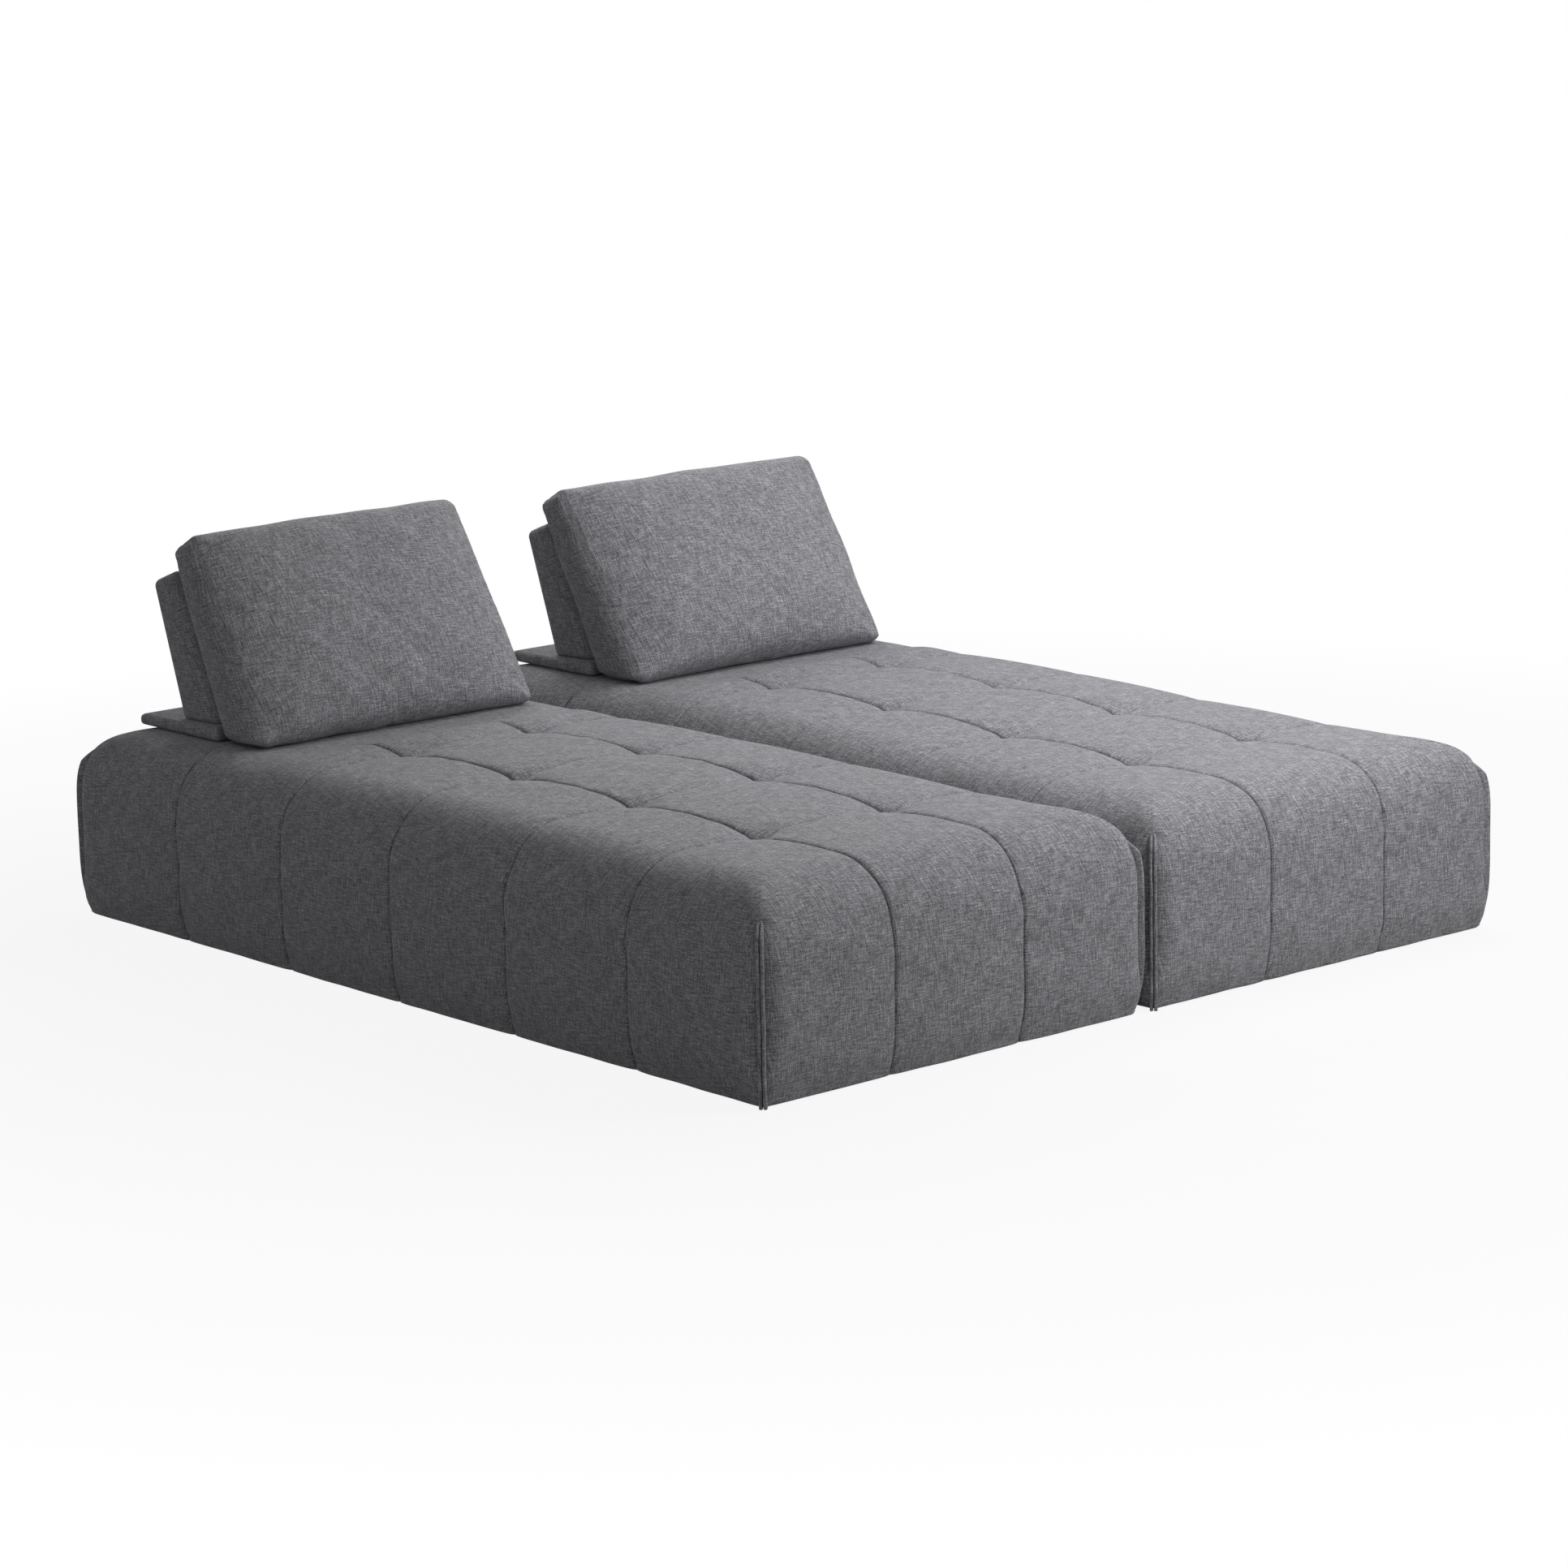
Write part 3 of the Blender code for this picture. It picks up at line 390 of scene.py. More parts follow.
@dataclass(frozen=True)
class SlubWeave:
    """Linen-look upholstery weave of mixed light and dark polyester yarns.

    Short light and dark dashes where a yarn shows, and longer, fainter slubs, in both directions, give the
    eye a fine cross-hatch. The fibres' fuzz lightens the cloth a little where it turns away.
    """

    # Length and width of a mark. Real yarns are 0.8 mm wide: the marks are drawn coarser, so that they show.
    dash: Pair = (0.0062, 0.0017)
    streak: Pair = (0.0300, 0.0019)
    shift: float = 0.37
    weights: tuple[float, ...] = (0.56, 0.56, 0.76, 0.80)
    ground: float = -0.889
    patch: float = 0.060
    patch_weight: float = 0.11
    dark: str = "#404044"
    middle: str = "#818185"
    light: str = "#c6c5ca"
    depth: float = 0.0004

    def make(self) -> Material:
        """Builds the weave on the piece's own cloth map."""
        material, tree, shader = blank("linen_look_weave")
        cloth = add(tree, "UVMap", uv_map=CLOTH_MAP).outputs["UV"]
        tone: Socket | float = self.ground
        marks = ((self.dash, 1), (self.dash, -1), (self.streak, 1), (self.streak, -1))
        for ((length, width), turn), weight in zip(marks, self.weights):
            # Each yarn's pattern starts further along than its neighbour's, so that no squares line up.
            ways = ((1 / length, self.shift / width)[::turn], (0.0, 1 / width)[::turn])
            along, across = (
                add(tree, "VectorMath", {0: cloth, 1: (*way, 0.0)}, operation="DOT_PRODUCT").outputs["Value"]
                for way in ways
            )
            place = add(tree, "CombineXYZ", {0: along, 1: across}).outputs[0]
            yarn = {"Vector": place, "Scale": 1.0, "Detail": 1.0}
            noise = add(tree, "TexNoise", yarn, noise_dimensions="2D").outputs[0]
            tone = reckon(tree, "MULTIPLY_ADD", noise, weight, tone)
        patches = {"Vector": cloth, "Scale": 1 / self.patch, "Detail": 2.0}
        cloud = add(tree, "TexNoise", patches, noise_dimensions="2D").outputs[0]
        shade = reckon(tree, "MULTIPLY_ADD", cloud, self.patch_weight, tone)
        values = {"Roughness": 0.88, "Specular IOR Level": 0.25, "Sheen Weight": 0.10, "Sheen Roughness": 0.5}
        finish_shader(shader, shade, [(0.0, self.dark), (0.5, self.middle), (1.0, self.light)], values)
        emboss(shader, tone, self.depth)
        return material


@dataclass(frozen=True)
class GrainedSolid:
    """A material with no weave: one colour varied between two by noise, with a little relief.

    Args:
        name: what it is, and the material's name.
        starts: how the names of the solids that it finishes start.
        low: the darker colour.
        high: the lighter one.
        grain: the size of the pattern in metres along X, Y and Z.
        depth: the height of the relief in metres.
        roughness: how matt it is.
        metallic: 1 for a metal.
    """

    name: str
    starts: tuple[str, ...]
    low: str
    high: str
    grain: Place
    depth: float
    roughness: float
    metallic: float = 0.0

    def make(self) -> Material:
        """Builds the material on Object coordinates."""
        material, tree, shader = blank(self.name)
        scale = tuple(1 / size for size in self.grain)
        place = add(tree, "TexCoord").outputs["Object"]
        scaled = add(tree, "VectorMath", {0: place, 1: scale}, operation="MULTIPLY").outputs[0]
        noise = add(tree, "TexNoise", {"Vector": scaled, "Scale": 1.0, "Detail": 4.0}).outputs[0]
        values = {"Roughness": self.roughness, "Metallic": self.metallic}
        finish_shader(shader, noise, list(zip(NOISE_ENDS, (self.low, self.high))), values)
        emboss(shader, noise, self.depth)
        return material


def pine(name: str, starts: tuple[str, ...], grain: Place) -> GrainedSolid:
    """Sawn pine: long pale and orange grain along the rail."""
    return GrainedSolid(name, starts, "#a97f4e", "#d3ab76", grain, 0.0003, 0.7)


SOLID_FINISHES = (
    # Cut polyurethane foam: pale yellow, with open cells about a millimetre wide.
    GrainedSolid("cut_foam", ("seat_foam", "panel_foam"), "#c9b987", "#e2d5a6", (0.0012,) * 3, 0.0004, 0.95),
    # Polyester fibre in its fleece bag: white and soft, with loose tufts about 20 mm wide.
    GrainedSolid("fibre_fleece", ("cushion_insert",), "#cfcbc2", "#ece9e2", (0.02,) * 3, 0.002, 0.95),
    pine("sawn_pine_lengthwise", ("side_rail",), (0.004, 0.16, 0.004)),
    pine("sawn_pine_crosswise", ("end_rail", "cross_rail"), (0.16, 0.004, 0.004)),
    # Birch plywood: even pale face grain along its width.
    GrainedSolid("birch_plywood", ("panel_board",), "#b8935f", "#dcbc8a", (0.12, 0.003, 0.003), 0.0002, 0.6),
    # Woven rubber and polyester webbing: near black, with ribs about 2 mm apart.
    GrainedSolid("elastic_webbing", ("webbing",), "#17171a", "#3a3a3f", (0.002,) * 3, 0.0005, 0.85),
    # Spun-bonded polypropylene: thin black cloth with a fine fibrous dapple.
    GrainedSolid("spun_bonded_lining", ("dust_cover",), "#0e0e10", "#26262a", (0.0015,) * 3, 0.0002, 0.95),
    # Injection-moulded polypropylene: black, lightly grained.
    GrainedSolid("moulded_plastic", ("foot",), "#101012", "#1d1d20", (0.0015,) * 3, 0.0001, 0.45),
    # Hot-rolled steel: dark grey with a cloudy scale.
    GrainedSolid(
        "rolled_steel", ("ballast_plate", "upright"), "#4b4d50", "#6e7074", (0.03,) * 3, 0.0001, 0.45, 1.0
    ),
    # Zinc-plated steel: pale, bright and barely clouded.
    GrainedSolid("zinc_plate", ("upright_bolt",), "#a9abae", "#c6c8cb", (0.003,) * 3, 0.00005, 0.3, 1.0),
    # Moulded rubber mat: matt black with small grains that grip the cloth.
    GrainedSolid("grip_rubber", ("grip_mat",), "#141416", "#2b2b2e", (0.002,) * 3, 0.0006, 0.9),
    # Coil zip on its woven tape: dark grey with teeth about 1.5 mm apart.
    GrainedSolid("zip_tape", ("cushion_zip",), "#2c2d30", "#5b5c60", (0.0015, 0.01, 0.01), 0.0006, 0.55),
)


# The seat


@dataclass
class SeatCover:
    """The quilted cover of one seat module.

    The top is a grid of pillows between two lengthwise and five crosswise seams, pulled down at ten tufts.
    Rings run from the top's border over the rounded edge, down the wall, round the hem and up inside. A pair
    of values is for X and Y, and of wall values for the side walls and the end walls.

    Args:
        centre: its middle in X.
        half: half of its width and half of its length.
        seed: number that fixes its small waves.
        lift: how much higher than the others each cross seam lies, from the front to the rear.
    """

    centre: float
    half: Array
    seed: int
    lift: tuple[float, ...]
    # The top's level, its crown, and the flattened place that the backrest and the cushion rest on
    flat: float = 0.4155
    crown: float = 0.0090
    rest_level: float = 0.408
    rest_front: float = 0.535
    rest_half: float = 0.385
    rest_fade: Pair = (0.06, 0.07)
    rest_over: float = 0.01
    # The seams' distances, depths and creases. Beside a seam a share of the rise is steep, the rest gentle
    pitch: Pair = (0.3333, 0.3726)
    seam_depth: Pair = (0.0050, 0.0045)
    tuft_depth: float = 0.0275
    tuft_reach: float = 0.048
    steep: Fade = Fade(0.70, 0.008)
    cross_steep: Fade = Fade(0.45, 0.012)
    tuft_steep: Fade = Fade(0.026, 0.040)
    crease: Fade = Fade(0.0110, 0.0030)
    cross_crease_share: float = 0.10
    border_crease_share: float = 0.55
    border_crease_reach: float = 0.10
    pinch: Pair = (0.0028, 0.0014)
    pinch_reach: float = 0.008
    # The dimple of each tuft, and the folds that run out from it
    funnel: Fade = Fade(0.0090, 0.012)
    funnel_stretch: float = 1.7
    fold: Fade = Fade(0.0030, 0.026)
    fold_start: float = 0.010
    fold_count: float = 7.0
    fold_turn: float = 0.8
    top_wave: Wave = Wave(0.0012, 0.10)
    # The rounded edge, the wall and the hem
    edge_reach: float = 0.160
    edge_drop: float = 0.170
    edge_power: float = 2.2
    belly: float = 0.180
    tuck: float = 0.022
    tuck_power: float = 3.8
    hem_roll: float = 0.009
    hem_height: float = 0.0012
    wall_groove: Pair = (0.0100, 0.0125)
    wall_pillow: float = 0.0045
    wall_pillow_reach: float = 0.17
    wall_wave: Wave = Wave(0.0014, 0.12)
    wall_ends: Pair = (0.15, 0.95)
    hem_wave: Wave = Wave(0.0004, 0.11)
    wall_seed: int = 8
    hem_seed: int = 3
    notch: Fade = Fade(0.002, 0.012)
    notch_ends: Pair = (0.02, 0.075)
    # The upright corners, and the hollow beside the flange that is sewn to each
    corner_radius: float = 0.064
    hem_radius: float = 0.012
    hem_radius_top: float = 0.13
    inner_radius: float = 0.001
    radius_share: float = 2.4
    corner_reach: float = 0.160
    corner_power: float = 2.9
    hollow: Fade = Fade(0.013, 0.011)
    hollow_ends: Pair = (0.335, 0.370)
    # What lies inside: the hem's opening, the frame and the foam
    opening: float = 0.055
    lip: Pair = (0.004, 0.001)
    frame_bottom: float = 0.0297
    foam_inset: float = 0.0397
    foam_top: float = 0.3639
    foam_round: float = 0.098
    # How fine the mesh is
    step: float = 0.0125
    near_seam: tuple[float, ...] = (0.0, 0.0011, 0.0026, 0.0047, 0.0076, 0.0115, 0.0165, 0.023, 0.0315)
    edge_steps: int = 26
    wall_steps: int = 16
    hem_steps: int = 5
    foam_steps: int = 6

    def __post_init__(self) -> None:
        """Places the seams by their pitch, the grid lines between them and the top's border."""
        self.seams = (self.pitch[0] * np.array([-0.5, 0.5]), self.pitch[1] * np.arange(-2.0, 3.0))
        self.grids = [self.columns(seams, half) for seams, half in zip(self.seams, self.half)]
        self.border = self.half - self.edge_reach
        self.wall_top = self.flat - self.edge_drop

    def shares(self, length: float) -> Array:
        """Places across one sewn panel, as rising shares of its length, close together near both of its ends.

        They start at 0, and leave out 1, which is the next panel's 0.
        """
        near = np.array(self.near_seam)
        count = max(1, round((length - 2 * near[-1]) / self.step))
        middle = np.linspace(near[-1], length - near[-1], count + 1)
        return np.concatenate([near[:-1], middle, length - near[-2:0:-1]]) / length

    def columns(self, seams: Array, wall: float) -> tuple[Array, Array]:
        """The panel that each grid line is in, and its share of the way across it, from wall to wall."""
        ways = [self.shares(length) for length in np.diff([-wall, *seams, wall])]
        panels = np.repeat(np.arange(len(ways)), [len(way) for way in ways])
        return np.append(panels, len(ways) - 1), np.append(np.concatenate(ways), 1.0)

    def lines(self, edge: Array) -> list[Array]:
        """The grid lines in X and in Y, from -edge to edge, each at its share of the way between seams."""
        found = []
        for (panels, ways), seams, reach in zip(self.grids, self.seams, edge):
            stops = np.array([-reach, *seams, reach])
            found.append(stops[panels] + ways * (stops[panels + 1] - stops[panels]))
        return found

    def quilt(self, x: Array, y: Array) -> Array:
        """How far the quilted top lies below its flat level, in metres.

        A seam's own line hangs in arcs between tufts. Away from a seam the cloth rises steeply, as
        exp(-distance / short length), and then slowly, as 1 - sin. The two directions join as the cube
        root of the sum of cubes. Small folds run out from each tuft, the whole top is slightly crowned, and
        each cross seam lies a little higher or lower by its lift.

        Args:
            x: places across the module from its middle.
            y: places along it.

        Returns:
            The depth at each place, less than 0 where the crown stands proud.
        """
        across, along = nearest(x, self.seams[0]), nearest(y, self.seams[1])
        slow_x, slow_y = bowl(across / (self.pitch[0] / 2)), bowl(along / (self.pitch[1] / 2))
        length_seam, cross_seam = self.seam_depth
        lengthwise = length_seam + (self.tuft_depth - length_seam) * slow_y
        lengthwise *= self.steep.at(across) + (1.0 - self.steep.depth) * slow_x
        crosswise = cross_seam + (self.tuft_depth - cross_seam) * fading(across, self.tuft_reach)
        share = self.cross_steep.depth
        steep = fading(along, self.cross_steep.reach + self.tuft_steep.at(across))
        crosswise *= share * steep + (1.0 - share) * slow_y
        at_border = smooth_step(np.abs(x), self.border[0] - self.border_crease_reach, self.border[0])
        cross_crease = self.cross_crease_share + self.border_crease_share * at_border
        reach = np.hypot(across, along)
        fold = self.fold.at(reach) * (1.0 - fading(reach, self.fold_start))
        fold *= np.cos(self.fold_count * np.arctan2(along, across) + self.fold_turn)
        depth = np.cbrt(lengthwise**3 + crosswise**3) + fold - np.interp(y, self.seams[1], self.lift)
        depth += self.crease.at(across) + cross_crease * self.crease.at(along)
        depth += self.funnel.at(np.hypot(across / self.funnel_stretch, along))
        inner_x, inner_y = (np.minimum(np.abs(way) / end, 1.0) for way, end in zip((x, y), self.border))
        depth -= (self.crown + self.top_wave.at(x, y, self.seed)) * (1.0 - inner_x**2) * (1.0 - inner_y**4)
        aside, ahead = self.rest_fade
        rest = smooth_step(y, self.rest_front - ahead, self.rest_front + self.rest_over)
        rest = rest * (1.0 - smooth_step(np.abs(x), self.rest_half, self.rest_half + aside))
        return depth * (1.0 - rest) + np.maximum(depth, self.flat - self.rest_level) * rest

    def corner_inset(self, height: float) -> float:
        """How far the upright corner stands back: its own, squarer superellipse above the wall."""
        rise = min(max(0.0, (height - self.wall_top) / self.edge_drop), 1.0)
        return self.edge_reach * (1.0 - (1.0 - rise**self.corner_power) ** (1.0 / self.corner_power))

    def plan_radius(self, height: float, held: float) -> float:
        """A ring's corner rounding seen from above, tighter towards the hem, for how far it is held in."""
        above_hem = float(smooth_step(height, 0.0, self.hem_radius_top))
        radius = self.hem_radius + (self.corner_radius - self.hem_radius) * above_hem
        return min(radius, self.radius_share * (self.edge_reach - held))

    def wall_inset(self, height: Array | float) -> Array:
        """How far the wall stands back below its belly: tuck times (1 - height / belly) to a power."""
        return self.tuck * rest_of(np.asarray(height, float) / self.belly) ** self.tuck_power

    def levels(self) -> Array:
        """The rings as rows of inset, height, outward share and inside mark.

        The edge is a quarter of a superellipse, the wall follows wall_inset, the hem is a quarter of an
        ellipse, and the inside goes up the frame and round the foam.

        Returns:
            One row per ring below the top's border.
        """
        turn = np.linspace(0.0, QUARTER, self.edge_steps + 1)[1:]
        power = 2.0 / self.edge_power
        inset = self.edge_reach * (1.0 - np.sin(turn) ** power)
        height = self.flat - self.edge_drop * (1.0 - np.clip(np.cos(turn), 0.0, 1.0) ** power)
        rows = [np.column_stack([inset, height, np.sin(turn), 0 * turn])]
        roll_top = self.hem_height + self.hem_roll
        height = np.linspace(self.wall_top, roll_top, self.wall_steps + 1)[1:]
        rows.append(np.column_stack([self.wall_inset(height), height, np.ones(len(height)), 0 * height]))
        turn = np.linspace(0.0, QUARTER, self.hem_steps + 1)[1:]
        inset = self.wall_inset(roll_top) + self.hem_roll * (1.0 - np.cos(turn))
        height = self.hem_height + self.hem_roll * (1.0 - np.sin(turn))
        rows.append(np.column_stack([inset, height, np.cos(turn), 0 * turn]))
        turn = np.linspace(0.0, QUARTER, self.foam_steps + 1)
        foam_inset = self.foam_inset + self.foam_round * (1.0 - np.cos(turn))
        foam_height = self.foam_top - self.foam_round * (1.0 - np.sin(turn))
        reach, rise = self.lip
        inside = [(self.opening - reach, self.hem_height + rise), (self.opening, self.hem_height + reach)]
        inside += [(self.opening, self.frame_bottom), (self.foam_inset, self.frame_bottom)]
        inside += list(zip(foam_inset, foam_height))
        rows.append(np.array([(inset, height, 0.0, 1.0) for inset, height in inside]))
        return np.concatenate(rows)

    def held_back(self, level: Array) -> float:
        """How far a ring's corner stands back from the module's box."""
        inset, height, _, inner = level
        return self.corner_inset(height) if height > self.wall_top and not inner else inset

    def ring(self, axis: int, level: Array, along: Array, top: Array) -> tuple[Array, Array, Array]:
        """Where the points of one ring are, seen from one pair of opposite walls.

        A point stands back from the wall's line by the level's inset, less where the corner is fuller, plus
        the groove of the nearest seam and the rounding of the corner.

        Args:
            axis: 0 for the side walls, 1 for the end walls.
            level: the ring's row of levels().
            along: places along the wall.
            top: depth of the quilt where the column leaves the top.

        Returns:
            The new places along the wall, the distance pulled in from it and the distance pulled down.
        """
        inset, height, outward, inner = level
        other, held = 1 - axis, self.held_back(level)
        end = self.half[other] - held
        to_corner = np.maximum(end - np.abs(along), 0.0)
        fuller = rest_of(to_corner / self.corner_reach) ** 2
        radius = self.inner_radius if inner else self.plan_radius(height, held)
        turn = QUARTER / 2 * rest_of(to_corner / radius)
        pull = (inset - held) * (1.0 - fuller) + radius * (1.0 - np.cos(turn))
        rounded = np.sign(along) * (end - radius * (1.0 - np.sin(turn)))
        new_along = np.where(to_corner < radius, rounded, along)
        if inner:
            return new_along, pull, np.zeros(len(along))
        seams = nearest(along, self.seams[other])
        sewn = self.wall_groove[axis] * fading(seams, self.crease.reach)
        sewn += self.wall_pillow * bowl(seams / self.wall_pillow_reach)
        loose = self.wall_wave.at(along, height, self.seed + self.wall_seed) * (1.0 - fuller)
        blend = smooth_step(outward, *self.wall_ends)
        groove = top * (1.0 - blend) + (sewn + loose) * blend
        hollow = self.hollow.at(to_corner) * (1.0 - smooth_step(height, *self.hollow_ends))
        waves = self.hem_wave.at(along, 0.0, self.seed + self.hem_seed)
        notch = self.notch.at(seams) + self.hem_wave.height + waves
        lean = math.sqrt(max(0.0, 1.0 - outward**2)) if height > self.belly else 0.0
        drop = groove * lean - notch * (1.0 - smooth_step(height, *self.notch_ends))
        new_along = drawn_over(new_along, self.seams[other], self.pinch[other], self.pinch_reach)
        return new_along, pull + (groove + hollow) * outward, drop

    def skin(self) -> Skin:
        """Builds the whole cover: the quilted grid, the rings and the flat cap inside."""
        xs, ys = self.lines(self.border)
        mesh_x, mesh_y = np.meshgrid(xs, ys, indexing="ij")
        depth = self.quilt(mesh_x, mesh_y)
        drawn = drawn_over(mesh_x, self.seams[0], self.pinch[0], self.pinch_reach)
        top = np.column_stack([drawn.ravel(), mesh_y.ravel(), (self.flat - depth).ravel()])
        number = np.arange(mesh_x.size).reshape(mesh_x.shape)
        faces = strips(number[:, :-1], number[:, 1:])
        last_x, last_y = len(xs) - 1, len(ys) - 1
        run_x, run_y = np.arange(last_x), np.arange(last_y)
        walls = ((run_x, 0), (last_x, run_y), (last_x - run_x, last_y), (0, last_y - run_y))
        i, j, wall = np.concatenate([np.broadcast_arrays(*way, k) for k, way in enumerate(walls)], axis=1)
        # 1 or -1 where a column is on the wall at an axis's end, and 0 elsewhere
        side = np.array([(i == last_x).astype(int) - (i == 0), (j == last_y).astype(int) - (j == 0)])
        levels = self.levels()
        plan, heights = [np.column_stack([xs[i], ys[j]])], []
        for level in levels:
            edge = self.half - self.held_back(level)
            line_x, line_y = self.lines(edge)
            ways = enumerate((line_y[j], line_x[i]))
            seen = [self.ring(axis, level, way, depth[i, j]) for axis, way in ways]
            new, pull, drop = np.moveaxis(seen, 1, 0)
            plan.append(np.where(side, side * (edge[:, None] - pull), new[::-1]).T)
            heights.append(level[1] - (abs(side) * drop).sum(axis=0) / abs(side).sum(axis=0))
        plan = np.array(plan)
        rings = np.dstack([plan[1:], heights]).reshape(-1, 3)
        steps = np.diff(np.vstack([(self.edge_reach, self.flat), levels[:, :2]]), axis=0)
        runs = np.append(0.0, np.cumsum(np.hypot(*steps.T)))[:, None]
        ids = np.vstack([number[i, j], number.size + np.arange(len(rings)).reshape(len(levels), -1)])
        ahead = np.roll(ids, -1, axis=1)
        here, there = (self.unrolled(wall, places, runs) for places in (plan, np.roll(plan, -1, axis=1)))
        points = np.concatenate([top, rings]) + (self.centre, 0.0, 0.0)
        cloth = np.concatenate([top[faces][..., :2], strips(here, there)])
        return Skin(points, np.concatenate([faces, strips(ids, ahead)]), cloth, [ids[-1][::-1]])

    def unrolled(self, wall: Array, plan: Array, runs: Array) -> Array:
        """Where ring points are on the cloth, seen from the walls that their faces belong to.

        Along the wall that is the place itself, and across it the top's border plus the length run so far.

        Args:
            wall: the wall of each face, from 0 for the front, anticlockwise from above.
            plan: places in plan, by ring and face.
            runs: length of cloth from the top's border to each ring.

        Returns:
            An array of rings by faces by two.
        """
        out_x, out_y = (border + runs for border in self.border)
        across = np.choose(wall, [plan[..., 0], out_x, plan[..., 0], -out_x])
        along = np.choose(wall, [-out_y, plan[..., 1], out_y, plan[..., 1]])
        return np.stack([across, along], -1)


@dataclass
class CornerFlange:
    """The flat double flange along one upright corner: two padded layers sewn face to face.

    Args:
        seat: the cover that it is sewn to.
        side_x: -1 on the left, 1 on the right.
        side_y: -1 at the front, 1 at the rear.
        hang: how much of the wall's tuck it leaves out, from 0, following the wall, to 1, hanging straight.
    """

    seat: SeatCover
    side_x: int
    side_y: int
    hang: float
    layer: float = 0.0072
    gap: float = 0.0012
    reach: float = 0.034
    tip_inset: float = 0.0165
    corner_share: float = 0.9
    front_top: float = 0.354
    rear_top: float = 0.367
    bottom: float = 0.0015
    bevel: float = 0.026
    bevel_power: float = 1.1
    bevel_depth: float = 0.017
    bevel_thin: float = 0.45
    hem_round: float = 0.012
    hem_depth: float = 0.004
    sway: Wave = Wave(0.0006, 0.09)
    cloth_apart: float = 0.3
    rows: int = 56
    fold_steps: int = 6
    flat_steps: int = 4

    def section(self, way: int) -> Array:
        """One layer's cross-section: a strip with a half-round fold at its tip.

        Args:
            way: -1 or 1, the side of the corner that the layer is on.

        Returns:
            Rows of distance back from the tip, and distance sideways.
        """
        half = self.layer / 2
        turn = np.linspace(-QUARTER, QUARTER, self.fold_steps + 1)
        fold = np.column_stack([half - half * np.cos(turn), half * np.sin(turn)])
        back = half + np.linspace(0.0, 1.0, self.flat_steps + 1)[1:] * (self.reach - half)
        upper = np.column_stack([back, np.full(len(back), half)])
        outline = np.concatenate([upper[::-1] * (1.0, -1.0), fold, upper])
        return outline + (0.0, way * (half + self.gap / 2))

    def skin(self) -> Skin:
        """Both layers, each its section carried up the line of the corner."""
        seat = self.seat
        top = self.front_top if self.side_y < 0 else self.rear_top
        height = np.linspace(self.bottom, top, self.rows)
        out = np.array([self.side_x, self.side_y]) * math.sqrt(0.5)
        sideways = np.array([-out[1], out[0]])
        tuck = seat.wall_inset(height)
        held = np.array([seat.corner_inset(level) for level in height])
        inset = tuck * (1.0 - self.hang) + self.corner_share * held
        corner = (self.side_x, self.side_y) * (seat.half - inset[:, None]) + (seat.centre, 0.0)
        near_top = np.clip((height - (top - self.bevel)) / self.bevel, 0.0, 1.0)
        near_hem = rest_of((height - self.bottom) / self.hem_round)
        retreat = self.tip_inset + self.bevel_depth * near_top**self.bevel_power
        retreat += self.hem_depth * near_hem**2
        deeper = 1.0 + math.sqrt(2.0) * self.hang * tuck / self.reach
        thin = 1.0 - self.bevel_thin * near_top**3
        sway = self.sway.at(height, 0.0, seat.seed + self.side_x + 3 * self.side_y)
        points, faces, cloth, caps = [], [], [], []
        for layer, way in enumerate((-1, 1)):
            outline = self.section(way)
            back = retreat[:, None] + np.outer(deeper, outline[:, 0])
            aside = np.outer(thin, outline[:, 1]) + sway[:, None]
            plan = corner[:, None, :] - out * back[..., None] + sideways * aside[..., None]
            points.append(np.dstack([plan, np.broadcast_to(height[:, None], back.shape)]).reshape(-1, 3))
            number = layer * back.size + np.arange(back.size).reshape(back.shape)
            faces.append(np.roll(strips(np.roll(number, -1, axis=1), number), 1, axis=1))
            girth = np.append(0.0, np.cumsum(np.linalg.norm(np.diff(outline, axis=0), axis=1)))
            weft = np.append(girth, girth[-1] + self.layer) + self.cloth_apart * way
            sheet = np.dstack(np.broadcast_arrays(weft, height[:, None]))
            cloth.append(np.roll(strips(sheet[:, 1:], sheet[:, :-1]), 1, axis=1))
            caps += [number[0][::-1], number[-1]]
        return Skin(np.concatenate(points), np.concatenate(faces), np.concatenate(cloth), caps)


# The backrest and the cushion


